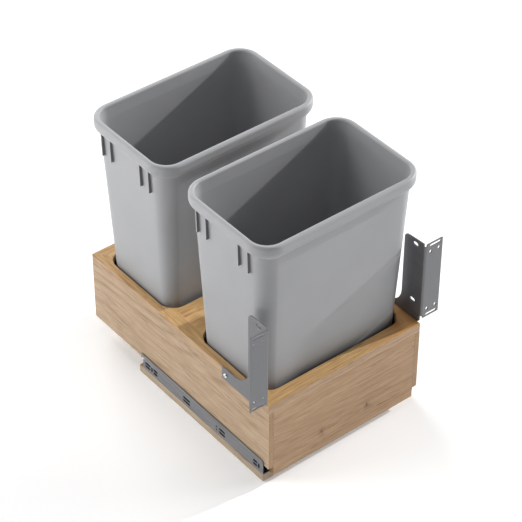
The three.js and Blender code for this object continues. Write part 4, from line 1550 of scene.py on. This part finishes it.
@dataclass
class Woodwork:
    """The tray's boards, its cleats and the base board.

    Attributes:
        cutout_x: Size of a bin's cut-out along x.
        cutout_y: Size of a bin's cut-out along y.
        cutout_radius: Corner radius of a cut-out.
        floor_holes: Centres of the base board's screw holes.
        knots: Places of the front board's pin knots, in metres.
    """

    cutout_x: float = 334.2
    cutout_y: float = 208.1
    cutout_radius: float = 32.5
    floor_holes: tuple[tuple[float, float], ...] = (
        (-96.5, -224.75), (96.5, -224.75), (-96.5, 85.25), (96.5, 85.25))
    knots: tuple[Point, ...] = ((0.0555, -0.278, 0.0651), (-0.0561, -0.278, 0.0614))

    def cutout(self, y: float) -> Loop:
        """Clockwise rounded rectangle round a bin, with a chamfer above.

        Args:
            y: Centre of the bin.

        Returns:
            The hole's loop.
        """
        plan = RoundedPlan.make(16, 4, 4)
        core = np.array([[self.cutout_x / 2, self.cutout_y / 2]]) - self.cutout_radius
        ring = plan.rings(core, np.array([self.cutout_radius]), np.zeros(1))[0, ::-1, :2]
        return Loop(ring + (0, y), Edge(1.5, 1, EdgeKind.CHAMFER, 0.2), Edge(0.4, 2))

    def floor_hole(self, x: float, y: float) -> Loop:
        """Countersunk hole: the cone is a chamfer 2.5 mm wide."""
        return Loop(slot(x, y, 4.0, 4.0, steps=16), Edge(2.5, 1, EdgeKind.CHAMFER, 0.1), FINE)

    def boards(self) -> list[Board]:
        """Cuts all the boards, each from its own place in the wood.

        Returns:
            The boards.
        """
        side = {"pale": srgb(190, 165, 137), "deep": srgb(139, 109, 79)}
        front = {"pale": srgb(185, 153, 120), "deep": srgb(129, 96, 65)}
        base = {"pale": srgb(186, 168, 144), "deep": srgb(142, 120, 96)}
        ends = {"end_y": 0.278, "end": (srgb(173, 142, 110), srgb(146, 114, 83))}
        stile = {"pale": srgb(206, 169, 118), "deep": srgb(147, 98, 52), "ring": 0.008}
        cross = {"pale": srgb(213, 176, 124), "deep": srgb(153, 103, 55), "ring": 0.008}
        y, x = Grain.ALONG_Y, Grain.ALONG_X
        left = WoodFinish("wood_side_left", y, (0.1, 0.25, -0.1), **side, **ends, tilt=0.02)
        right = WoodFinish("wood_side_right", y, (1.3, 0.45, -0.2), **side, **ends, tilt=-0.02)
        face = WoodFinish("wood_front", x, (2.1, 0.9, -0.12), **front, flame=0.2, contrast=0.9,
                          knots=self.knots)
        back = WoodFinish("wood_back", x, (3.2, -0.3, -0.1), **front, contrast=0.8)
        bottom = WoodFinish("wood_bottom", y, (4.1, 0.1, 0.2), **side)
        top = TopFinish(
            "wood_top", joint_x=0.1555, joint_ys=(0.008,),
            stile=WoodFinish("stile", y, (0.3, 0.1, 0.02), **stile),
            cross=WoodFinish("cross", x, (0.7, 0.02, 0.05), **cross),
            edge=(srgb(190, 160, 129), srgb(132, 100, 70)), edge_z=0.2001,
        )
        ground = WoodFinish("wood_base", y, (5.2, 0.3, 0.3), **base)
        cleat_left = WoodFinish("wood_cleat_left", y, (6.1, 0.2, 0.0), **side)
        cleat_right = WoodFinish("wood_cleat_right", y, (7.4, 0.5, 0.0), **side)
        cutouts = [self.cutout(place) for place in BIN_YS.values()]
        floor_holes = [self.floor_hole(*place) for place in self.floor_holes]
        return [
            Board("tray_side_left", "tray", Normal.X, left),
            Board("tray_side_right", "tray", Normal.X, right),
            Board("tray_front", "tray", Normal.Y, face),
            Board("tray_back", "tray", Normal.Y, back),
            Board("tray_bottom", "tray", Normal.Z, bottom),
            Board("tray_top", "tray", Normal.Z, top, "wood_top", holes=cutouts),
            Board("base_board", "base", Normal.Z, ground, holes=floor_holes),
            Board("cleat_left", "tray", Normal.X, cleat_left),
            Board("cleat_right", "tray", Normal.X, cleat_right),
        ]

    def build(self) -> None:
        """Makes every board."""
        for board in self.boards():
            board.build()


# Rails and slides


@dataclass
class SlideRail:
    """Upright slotted web on a foot, bent from one sheet, with a hook at its back end (left side).

    Attributes:
        web_x: Inner face of the web.
        foot_x: Inner edge of the foot.
        top_z: Top of the web.
        foot_z: Top of the foot.
        front_y: Front end.
        back_y: Back end of the hook.
        lower_back_y: Back end below the hook.
        thick: Thickness of the sheet.
        web_share: Share of that thickness in the web.
        bend: Inner radius of the bend.
        notch: Heights of the notch under the hook.
        notch_depth: How far the notch goes in front of the lower back end.
        hook_lip: How far the hook's tip stands behind the rest of it.
        screw_x: Centre line of the foot's screw holes.
        screw_ys: Places of the foot's screw holes.
        rows: Heights of the two rows of slots.
        slots: Centre along y and length of each pair of slots.
        slot_width: Width of the slots.
        cross_ys: Places of the upright slots.
        cross_length: Length of an upright slot.
        round_y: Place of the round holes.
    """

    web_x: float = -185.0
    foot_x: float = -136.5
    top_z: float = 52.5
    foot_z: float = 18.5
    front_y: float = -264.75
    back_y: float = 119.25
    lower_back_y: float = 113.25
    thick: float = 1.5
    web_share: float = 0.55
    bend: float = 0.6
    notch: tuple[float, float] = (39.5, 45.0)
    notch_depth: float = 4.0
    hook_lip: float = 1.75
    screw_x: float = -144.5
    screw_ys: tuple[float, ...] = (-234.75, -72.75, 89.25)
    rows: tuple[float, float] = (27.3, 35.6)
    slots: tuple[tuple[float, float], ...] = (
        (-241.25, 12.9), (-140.25, 18.9), (-28.75, 22.4), (72.75, 13.4), (97.75, 17.9))
    slot_width: float = 5.2
    cross_ys: tuple[float, float] = (-252.25, 84.25)
    cross_length: float = 12.2
    round_y: float = -122.75

    def path(self) -> FoldPath:
        """Line of the inner face, from the web's top down and along the foot."""
        top, corner, foot = (self.web_x, self.top_z), (self.web_x, self.foot_z), (self.foot_x, self.foot_z)
        return FoldPath((top, corner, foot), self.bend, 5)

    def holes(self, level: Callable[[float], float], less: float = 0.0) -> list[Loop]:
        """Slots and round holes of the web.

        Args:
            level: Turns a height on the web into u.
            less: How much smaller the holes are, for the channel behind the web.

        Returns:
            The loops.
        """
        wide = self.slot_width - less
        middle = level(sum(self.rows) / 2)
        found = [slot(level(z), y, length - less, wide, True) for z in self.rows for y, length in self.slots]
        found += [slot(middle, y, self.cross_length - less, wide * 0.85) for y in self.cross_ys]
        found += [slot(level(z), self.round_y, wide * 0.8, wide * 0.8) for z in self.rows]
        return [Loop(points) for points in found]

    def skin(self) -> Skin:
        """Cuts the rail's flat pattern and bends it along the path.

        Returns:
            The surface.
        """
        path = self.path()
        start, end = path.bends()[0]
        foot_edge = path.length()

        def level(z: float) -> float:
            """Place along the path of a height on the web."""
            return self.top_z - z

        low, high, tip = (level(z) for z in (*self.notch, self.notch[1] - self.notch_depth))
        front, back, lower = self.front_y, self.back_y, self.lower_back_y
        notch, hook = lower - self.notch_depth, back - self.hook_lip
        corners = [
            (0.0, front), (foot_edge, front), (foot_edge, lower), (low, lower), (low, notch), (high, notch),
            (high, hook), (tip, hook), (tip, back), (0.0, back),
        ]
        cuts = (1.0, 3.0, 3.0, 0.6, 0.8, 0.8, 0.6, 0.6, 0.6, 1.0)
        outline = softened(corners, cuts, hold=0.15)
        screw_u = end + self.screw_x - self.web_x - self.bend
        foot = [Loop(slot(screw_u, y, 5.0, 5.0)) for y in self.screw_ys]
        plate = Plate(Loop(outline), [*self.holes(level), *foot], 0.0, self.thick, path.folds())
        bend = path.placer(Normal.Y)

        def place(u: np.ndarray, v: np.ndarray, w: np.ndarray) -> np.ndarray:
            """Bent position: the web is pressed thinner than the foot, and keeps its outer face."""
            pressed = self.thick - (self.thick - w) * self.web_share
            return bend(u, v, np.where(u < start - TINY, pressed, w))

        return plate.skin(place)


def bent(path: FoldPath, front: float, back: float, thick: float, holes: Sequence[Loop] = ()) -> Skin:
    """Straight channel bent from a sheet.

    Args:
        path: Section of its inner face in x and z.
        front: Place of its front end along y.
        back: Place of its back end along y.
        thick: Thickness of the sheet.
        holes: Holes in its flat pattern.

    Returns:
        The surface.
    """
    outline = rectangle(0.0, front, path.length(), back, 0.4)
    edge = Edge(0.15, 2, hold=0.05)
    plate = Plate(Loop(outline, edge, edge), list(holes), 0.0, thick, path.folds())
    return plate.skin(path.placer(Normal.Y))


@dataclass
class BallSlide:
    """Three nested channels with ball cages between them (left side).

    Attributes:
        front_y: Front end.
        back_y: Back end.
        mid_z: Middle height.
        outer: Inner face of the fixed channel's web, its tip, half height over all and sheet.
        middle: The same for the middle channel.
        inner: The same for the channel on the cleat.
        outer_cage: Face of a cage's web towards the rail, ends of its legs and clear height round it.
        inner_cage: The same for the cage between the middle and the inner channel.
        cage_sheet: Thickness of a cage's strip.
        cage_start: Front end of the cages.
        cage_length: Length of the cages.
        cage_bend: Inner radius of their bends.
        cage_web: From that face to the inner face of the strip's web.
        cage_leg: From the balls' centres to the inner face of a leg.
        ball_inset: From a channel's inner face to the balls' centres.
        ball_share: Share of a leg's length where the balls stand.
        ball: Diameter of a ball.
        balls: Balls in each row.
        screw_ys: Places of the screws in the inner channel.
    """

    front_y: float = -262.75
    back_y: float = 111.25
    mid_z: float = 28.5
    outer: ChannelSizes = (-183.75, -175.5, 10.0, 1.25)
    middle: ChannelSizes = (-181.75, -174.5, 6.75, 1.0)
    inner: ChannelSizes = (-173.0, -180.25, 3.75, 1.0)
    outer_cage: CageSizes = (-183.5, -177.0, 17.5)
    inner_cage: CageSizes = (-181.25, -176.0, 11.5)
    cage_sheet: float = 0.6
    cage_start: float = -137.75
    cage_length: float = 120.0
    cage_bend: float = 0.3
    cage_web: float = 0.5
    cage_leg: float = 0.375
    ball_inset: float = 1.0
    ball_share: float = 0.6
    ball: float = 1.6
    balls: int = 4
    screw_ys: tuple[float, float] = (-222.75, 71.25)

    def lipped(self, sizes: ChannelSizes) -> FoldPath:
        """Section of a channel that opens to +x, with a lip on each flange.

        Args:
            sizes: Inner face of its web, outer face of its lips, half height over all and sheet.

        Returns:
            The line of its inner face in x and z.
        """
        web, tip, half, sheet = sizes
        lip, high, z = tip - sheet, half - sheet, self.mid_z
        return FoldPath(((lip, z + high - 1), (lip, z + high), (web, z + high), (web, z - high),
                         (lip, z - high), (lip, z - high + 1)), 0.2, 4, 0.05)

    def fixed_channel(self, rail: SlideRail) -> Skin:
        """Channel on the rail's web, with the rail's slots through it, a little smaller.

        Args:
            rail: The rail.

        Returns:
            The surface.
        """
        path = self.lipped(self.outer)
        middle = path.length() / 2 + self.mid_z
        edge = Edge(0.1, 2, hold=0.03)
        holes = [Loop(loop.points, edge, edge) for loop in rail.holes(lambda z: middle - z, 2.8)]
        return bent(path, self.front_y, self.back_y, self.outer[3], holes)

    def middle_channel(self) -> Skin:
        """Channel between the other two."""
        return bent(self.lipped(self.middle), self.front_y, self.back_y, self.middle[3])

    def inner_channel(self) -> Skin:
        """Channel on the cleat, which opens to -x and has plain flanges.

        Returns:
            The surface.
        """
        web, tip, half, sheet = self.inner
        low, high = self.mid_z - half + sheet, self.mid_z + half - sheet
        path = FoldPath(((tip, low), (web, low), (web, high), (tip, high)), 0.35, 4, 0.12)
        middle = path.length() / 2
        edge = Edge(0.15, 2, hold=0.05)
        holes = [Loop(slot(middle, y, 3.4, 3.4, steps=8), edge, edge) for y in self.screw_ys]
        return bent(path, self.front_y, self.back_y, sheet, holes)

    def cage(self, face: float, tip: float, clear: float) -> tuple[Skin, Skin]:
        """Ball cage between two channels: a thin folded strip, and a row of balls in each of its legs.

        Args:
            face: Face of the strip's web towards the rail.
            tip: Ends of its legs.
            clear: Clear height in the outer one of the two channels.

        Returns:
            The strip's surface and the balls' surface.
        """
        row = clear / 2 - self.ball_inset
        web = face + self.cage_web
        low, high = self.mid_z - row + self.cage_leg, self.mid_z + row - self.cage_leg
        path = FoldPath(((tip, high), (web, high), (web, low), (tip, low)), self.cage_bend, 4, 0.12)
        strip = bent(path, self.cage_start, self.cage_start + self.cage_length, self.cage_sheet)
        rise = np.linspace(-math.pi / 2, math.pi / 2, 9)
        ball = turned(np.stack([np.cos(rise), np.sin(rise)], axis=-1) * self.ball / 2, 14)
        pitch = self.cage_length / self.balls
        x = web + self.ball_share * (tip - web)
        balls = [ball.moved(x, self.cage_start + pitch * (i + 0.5), self.mid_z + way * row)
                 for i in range(self.balls) for way in (-1, 1)]
        return strip, joined(balls)


@dataclass
class Screw:
    """Pan-head screw with a cross recess; its head's seat is at z = 0 and it points down.

    Attributes:
        head_d: Diameter of the head.
        head_h: Height of the head.
        shank_d: Diameter of the shank.
        length: Length of the shank.
        recess: Length of the cross recess.
    """

    head_d: float
    head_h: float
    shank_d: float
    length: float
    recess: float

    def sink(self, x: np.ndarray, y: np.ndarray) -> np.ndarray:
        """Depth of the recess: two crossed bars with steep sides, deeper towards the middle.

        Args:
            x: Places across the head.
            y: Places across the head, the other way.

        Returns:
            The depth at each place.
        """
        half, width = self.recess / 2, 0.24 * self.recess / 2
        slope = 0.16 * half

        def bar(a: np.ndarray, b: np.ndarray) -> np.ndarray:
            """Share of the depth in one bar.

            Args:
                a: Place along the bar.
                b: Place across it.

            Returns:
                The share, from 0 to 1.
            """
            along = np.clip((half - np.abs(a)) / slope, 0, 1)
            across = np.clip((width + slope / 2 - np.abs(b)) / slope, 0, 1)
            return along * across

        away = np.hypot(x, y) / half
        depth = self.head_h * (0.62 - 0.22 * np.clip(away, 0, 1))
        return np.maximum(bar(x, y), bar(y, x)) * depth

    def skin(self) -> Skin:
        """The screw's surface: a profile turned about z, with the recess sunk into its dome.

        The dome is (R cos t, e + (h - e) sin t), on a short upright edge of height e.

        Returns:
            The surface.
        """
        radius, edge = self.head_d / 2, 0.3 * self.head_h
        shank = self.shank_d / 2
        t = np.linspace(0, 0.5, 9) * math.pi / 2
        far = radius * math.cos(float(t[-1]))
        shoulder = np.stack([radius * np.cos(t), edge + (self.head_h - edge) * np.sin(t)], axis=-1)
        inner = np.linspace(far, 0.0, 27)[1:]
        crown = np.stack([inner, edge + (self.head_h - edge) * np.sqrt(1 - (inner / radius) ** 2)], axis=-1)
        point = -self.length
        under = np.array([
            (0.0, point), (shank * 0.25, point + 0.4), (shank, point + 0.8 * self.shank_d), (shank, -0.01),
            (radius - 0.25, -0.01), (radius, 0.15 * edge),
        ])
        return turned(np.concatenate([under, shoulder, crown]), 72, self.sink)

    def row(self, name: str, body: str, places: Sequence[Point], way: Normal, side: Side,
            material: bpy.types.Material) -> None:
        """Makes a row of screws on one side.

        Args:
            name: Name of their nodes, before the side and the number.
            body: CAD body that they ride on.
            places: Places of the heads' seats on the left side.
            way: Axis of the screws: Z points them down, X into the side.
            side: Side of the object.
            material: Their material.
        """
        skin = self.skin()
        points = skin.points
        if way is Normal.X:
            points = points[:, [2, 1, 0]] * (side.value, 1, 1)
        for i, (x, y, z) in enumerate(places):
            node = f"{name}_{side.label}_{i + 1}"
            placed = Skin(points + (-side.value * x, y, z), skin.faces).outward()
            Piece(f"{node}_head", body, node, "screw", [(placed, material)]).build()


@dataclass
class Slides:
    """Both rails with their slides, cages and screws.

    Attributes:
        rail: The rail's sizes.
        slide: The slide's sizes.
        foot_screw: Screw that holds the rail's foot.
        cleat_screw: Screw that holds the inner channel.
    """

    rail: SlideRail = field(default_factory=SlideRail)
    slide: BallSlide = field(default_factory=BallSlide)
    foot_screw: Screw = field(default_factory=lambda: Screw(8.0, 2.5, 4.0, 11.0, 4.4))
    cleat_screw: Screw = field(default_factory=lambda: Screw(4.6, 1.4, 2.8, 12.0, 2.6))

    def build(self) -> None:
        """Makes both sides."""
        rail_steel = MetalFinish("rail_steel", srgb(106, 108, 113), srgb(150, 150, 154), 0.7, 0.42)
        # Painted shade: the slide's channels are near black and dull, so that the slots through the rail read
        # as deep shade.
        slide_steel = MetalFinish("slide_steel", srgb(14, 14, 16), srgb(24, 24, 26), 0.1, 0.6, level=0.15)
        zinc = MetalFinish("screw_zinc", srgb(205, 206, 210), srgb(228, 229, 232), 1.0, 0.24)
        plastic = PlasticFinish("cage_plastic", srgb(86, 88, 91), srgb(96, 98, 101), 0.55)
        rail, dark, bright, black = (finish.material() for finish in (rail_steel, slide_steel, zinc, plastic))
        sheets = (
            ("rail", "sheet", "base", "rail_steel", self.rail.skin(), rail),
            ("cabinet_member", "channel", "base", "slide_steel", self.slide.fixed_channel(self.rail), dark),
            ("middle_member", "channel", "middle", "slide_steel", self.slide.middle_channel(), dark),
            ("drawer_member", "channel", "tray", "slide_steel", self.slide.inner_channel(), dark),
        )
        cages = {
            "outer_cage": self.slide.cage(*self.slide.outer_cage),
            "inner_cage": self.slide.cage(*self.slide.inner_cage),
        }
        seats = [(self.rail.screw_x, y, self.rail.foot_z) for y in self.rail.screw_ys]
        cleat_seats = [(self.slide.inner[0], y, self.slide.mid_z) for y in self.slide.screw_ys]
        for side in Side:
            end = side.label
            for name, kind, body, slot_name, skin, steel in sheets:
                rides = f"{body}_{end}" if body == "middle" else body
                node = f"{name}_{end}"
                Piece(f"{node}_{kind}", rides, node, slot_name, [(skin.mirrored(side), steel)]).build()
            for name, (strip, balls) in cages.items():
                node = f"{name}_{end}"
                parts = [(strip.mirrored(side), black), (balls.mirrored(side), bright)]
                Piece(f"{node}_strip", node, node, "cage", parts).build()
            self.foot_screw.row("rail_screw", "base", seats, Normal.Z, side, bright)
            self.cleat_screw.row("drawer_screw", "tray", cleat_seats, Normal.X, side, bright)


# Door brackets


@dataclass
class DoorBracket:
    """Side plate on the tray's side, bent outwards into a slotted door flange (left side).

    Heights are above the tray's top, and places along y are behind the tray's front.

    Attributes:
        side_x: Outer face of the tray's side.
        front_y: Tray's front.
        top_z: Tray's top.
        thick: Thickness of the sheet.
        bend: Inner radius of the bend.
        flange_width: From the tray's side to the flange's outer edge.
        flange_low: Lower edge of the flange.
        flange_high: Upper edge of the flange.
        relief: How much shorter the bend is at each end.
        depth: Depth of the tall part of the plate.
        plate_top: Height of the plate at the bend.
        back_top: Height of its upper back corner.
        corner: Length cut off that corner.
        tab_length: Depth of the low tab.
        tab_low: Lower edge of the tab.
        tab_high: Upper edge of the tab.
        tab_start: Where the tab's lower edge starts.
        fillet: Radius of the corner between the plate and the tab.
        bend_foot: Height at which the plate's lower edge leaves the bend.
        plate_holes: Heights of the plate's slots.
        plate_hole_y: Place of those slots.
        plate_slot: Length and width of those slots.
        long_slot: From the tray's side to the middle of the flange's long slots, and their length.
        long_inset: From the flange's ends to those slots.
        short_outs: From the tray's side to the flange's short slots.
        short_length: Length of the short slots.
        short_inset: From the flange's ends to the short slots.
        slot_width: Width of the flange's slots.
        hole: Diameter of the screw holes.
        screw_ys: Places of the plate's screws.
        screw_drop: From the tray's top down to the screws.
        screw: The screw's sizes.
    """

    side_x: float = -184.0
    front_y: float = -278.0
    top_z: float = 200.5
    thick: float = 2.5
    bend: float = 2.0
    flange_width: float = 43.5
    flange_low: float = 10.5
    flange_high: float = 189.5
    relief: float = 5.5
    depth: float = 57.0
    plate_top: float = 191.0
    back_top: float = 187.0
    corner: float = 10.0
    tab_length: float = 136.0
    tab_low: float = -24.0
    tab_high: float = 5.0
    tab_start: float = 32.0
    fillet: float = 42.0
    bend_foot: float = 4.0
    plate_holes: tuple[float, float] = (43.5, 178.0)
    plate_hole_y: float = 26.5
    plate_slot: tuple[float, float] = (13.5, 7.8)
    long_slot: tuple[float, float] = (25.25, 27.5)
    long_inset: float = 5.5
    short_outs: tuple[float, float] = (14.0, 34.75)
    short_length: float = 8.0
    short_inset: float = 20.0
    slot_width: float = 6.0
    hole: float = 5.0
    screw_ys: tuple[float, float] = (38.0, 124.5)
    screw_drop: float = 10.75
    screw: Screw = field(default_factory=lambda: Screw(9.5, 3.2, 4.0, 12.0, 5.2))

    def path(self) -> FoldPath:
        """Line of the inner face in x and y, from the flange's outer edge round the bend and back."""
        x, y = self.side_x - self.thick, self.front_y + self.thick
        return FoldPath(((self.side_x - self.flange_width, y), (x, y), (x, self.front_y + self.tab_length)),
                        self.bend, 8, 1.2)

    def outline(self, start: float, end: float, length: float) -> np.ndarray:
        """Flat pattern of the bracket: u along the path, v above the tray's top.

        Args:
            start: Place of the bend's start along the path.
            end: Place of the bend's end.
            length: Length of the path.

        Returns:
            The outline, anticlockwise.
        """
        bottom, top = self.flange_low, self.flange_high
        low, high = bottom + self.relief, top - self.relief
        shift = end - (self.thick + self.bend)
        back = self.depth + shift
        before, after = start - 0.05, end + 0.05
        turn = np.linspace(0, 1, 13)[:, None] * math.pi / 2
        centre = (back + self.fillet, self.tab_high + self.fillet)
        arc = centre - self.fillet * np.concatenate([np.sin(turn), np.cos(turn)], axis=1)
        rows = [
            (0.0, bottom, 0.8), (before, bottom, 0.6), (before, low, 0.0), (after, low, 0.0),
            (after, self.bend_foot, 0.8), (self.tab_start + shift, self.tab_low, 1.5),
            (length, self.tab_low, 1.2), (length, self.tab_high, 1.2),
            *((u, v, 0.0) for u, v in arc.tolist()),
            (back, self.back_top, self.corner), (after, self.plate_top, 0.6), (after, high, 0.0),
            (before, high, 0.0), (before, top, 0.6), (0.0, top, 0.8),
        ]
        table = np.array(rows)
        return softened(table[:, :2], table[:, 2], steps=6, hold=0.3)

    def skin(self) -> Skin:
        """Cuts the bracket's flat pattern with its slots and holes, and bends it along the path.

        Returns:
            The surface.
        """
        path = self.path()
        start, end = path.bends()[0]
        shift = end - (self.thick + self.bend)
        low, high, wide = self.flange_low, self.flange_high, self.slot_width
        out, length = self.long_slot
        holes = [slot(self.plate_hole_y + shift, z, *self.plate_slot) for z in self.plate_holes]
        holes += [slot(self.flange_width - out, z, length, wide)
                  for z in (low + self.long_inset, high - self.long_inset)]
        holes += [slot(self.flange_width - out, z, self.short_length, wide, True)
                  for z in (low + self.short_inset, high - self.short_inset) for out in self.short_outs]
        holes += [slot(y + shift, -self.screw_drop, self.hole, self.hole) for y in self.screw_ys]
        edge = Edge(0.35, 3, hold=0.12)
        outline = Loop(self.outline(start, end, path.length()), edge, edge)
        plate = Plate(outline, [Loop(points, edge, edge) for points in holes], 0.0, self.thick, path.folds())
        bend = path.placer(Normal.Z)

        def place(u: np.ndarray, v: np.ndarray, w: np.ndarray) -> np.ndarray:
            """Bent position, at its height on the tray."""
            return bend(u, v + self.top_z, w)

        return plate.skin(place)

    def build(self) -> None:
        """Makes both brackets and their screws."""
        steel = MetalFinish("bracket_steel", srgb(113, 114, 117), srgb(126, 127, 130), 0.5, 0.45).material()
        bright = MetalFinish("bracket_screw_zinc", srgb(215, 216, 219), srgb(236, 237, 239), 1.0, 0.22)
        zinc = bright.material()
        skin = self.skin()
        x, z = self.side_x - self.thick, self.top_z - self.screw_drop
        seats = [(x, self.front_y + y, z) for y in self.screw_ys]
        for side in Side:
            end = side.label
            Piece(f"door_bracket_{end}_sheet", "tray", f"door_bracket_{end}", "bracket_steel",
                  [(skin.mirrored(side), steel)]).build()
            self.screw.row("bracket_screw", "tray", seats, Normal.X, side, zinc)


# Studio


@dataclass(frozen=True)
class Lamp:
    """Light that points at the object.

    Attributes:
        name: Its name.
        place: Where it is, in metres.
        power: Power in watts, or the strength of a distant light.
        size: Length of a softbox's sides in metres, or the apparent width of a distant light in degrees.
        distant: Whether it is a distant light, and not a softbox.
        aim: What it points at, in metres.
    """

    name: str
    place: Point
    power: float
    size: float
    distant: bool = False
    aim: Point = (0.0, 0.0, 0.3)

    def build(self) -> None:
        """Adds the light."""
        light = bpy.data.lights.new(self.name, "SUN" if self.distant else "AREA")
        light.energy = self.power
        if self.distant:
            light.angle = math.radians(self.size)
        else:
            light.shape = "SQUARE"
            light.size = self.size
        lamp = bpy.data.objects.new(self.name, light)
        lamp.location = self.place
        way = Vector(self.aim) - Vector(self.place)
        lamp.rotation_euler = way.to_track_quat("-Z", "Y").to_euler()
        bpy.context.scene.collection.objects.link(lamp)


@dataclass
class Studio:
    """Floor, lights and camera of a plain pale studio.

    Attributes:
        azimuth: How far the camera stands to the left of the front, in degrees.
        elevation: How high it looks down from, in degrees.
        roll: Its turn about its own axis, in degrees.
        place: Where it is, in metres.
        lens: Focal length in millimetres on a sensor 36 mm wide.
        sky: Brightness of the surroundings.
        glow: Brightness of the floor's own light, as of a lit table.
        floor_reach: From the middle of the floor to its sides, in metres.
        lamps: The lights.
    """

    azimuth: float = 38.73
    elevation: float = 39.8
    roll: float = -0.18
    place: Point = (-1.9057, -2.4007, 2.8221)
    lens: float = 144.06
    sky: float = 0.15
    glow: float = 0.21
    floor_reach: float = 15.0
    lamps: tuple[Lamp, ...] = (
        Lamp("key_right", (3.0, -0.41, 1.527), 3.38, 1.4, True),
        Lamp("softbox_top", (0.0, 0.0, 3.5), 23.3, 1.5),
        Lamp("softbox_left_back", (-2.4, 1.2, 2.2), 38.0, 1.5),
        Lamp("softbox_left_low", (-2.4, 2.2, 0.9), 37.0, 1.4),
        Lamp("softbox_right_front", (3.0, -1.8, 1.3), 39.1, 1.2),
        Lamp("softbox_back", (0.5, 3.2, 2.0), 68.5, 2.0),
    )

    def camera(self) -> None:
        """Adds the camera: its axes are the right, up and back directions of the three angles."""
        a, e, r = (math.radians(v) for v in (self.azimuth, self.elevation, self.roll))
        back = np.array([-math.sin(a) * math.cos(e), -math.cos(a) * math.cos(e), math.sin(e)])
        right = np.array([math.cos(a), -math.sin(a), 0.0])
        up = np.cross(back, right)
        c, s = math.cos(r), math.sin(r)
        axes = np.array([[c, -s, 0], [s, c, 0], [0, 0, 1]]) @ np.array([right, up, back])
        data = bpy.data.cameras.new("camera")
        data.sensor_fit = "HORIZONTAL"
        data.sensor_width = 36.0
        data.lens = self.lens
        data.clip_start = 0.05
        data.clip_end = 60.0
        made = bpy.data.objects.new("camera", data)
        turn = Matrix(axes.T.tolist()).to_4x4()
        made.matrix_world = Matrix.Translation(self.place) @ turn
        bpy.context.scene.collection.objects.link(made)
        bpy.context.scene.camera = made

    def floor(self) -> None:
        """Adds the floor, a pale sheet."""
        mesh = bpy.data.meshes.new("floor")
        corners = np.array([(-1, -1, 0), (1, -1, 0), (1, 1, 0), (-1, 1, 0)]) * self.floor_reach
        mesh.from_pydata(corners.tolist(), [], [(0, 1, 2, 3)])
        made, g, shader, where = surface("floor_paper")
        tone = g.noise(g.stretched(where, 3.0, 3.0, 3.0), 2.0)
        colour = g.mix(tone, (0.86, 0.86, 0.86, 1), (0.88, 0.88, 0.88, 1))
        g.feed(shader.inputs["Base Color"], colour)
        g.feed(shader.inputs["Emission Color"], colour)
        shader.inputs["Emission Strength"].default_value = self.glow
        shader.inputs["Roughness"].default_value = 0.9
        mesh.materials.append(made)
        sheet = bpy.data.objects.new("floor", mesh)
        bpy.context.scene.collection.objects.link(sheet)

    def surroundings(self) -> None:
        """Sets the even light from all round, and a plain view of the colours."""
        scene = bpy.context.scene
        world = bpy.data.worlds.new("studio")
        world.use_nodes = True
        sky = world.node_tree.nodes["Background"]
        sky.inputs["Color"].default_value = (1, 1, 1, 1)
        sky.inputs["Strength"].default_value = self.sky
        scene.world = world
        scene.view_settings.view_transform = "Standard"
        scene.view_settings.look = "None"

    def build(self) -> None:
        """Sets up the whole studio."""
        self.camera()
        self.floor()
        self.surroundings()
        for lamp in self.lamps:
            lamp.build()


def main() -> None:
    """Builds the studio and every sub-assembly."""
    logging.basicConfig(level=logging.INFO, format="%(name)s: %(message)s")
    Studio().build()
    Woodwork().build()
    Slides().build()
    DoorBracket().build()
    Bin().build()


if __name__ == "__main__":
    main()
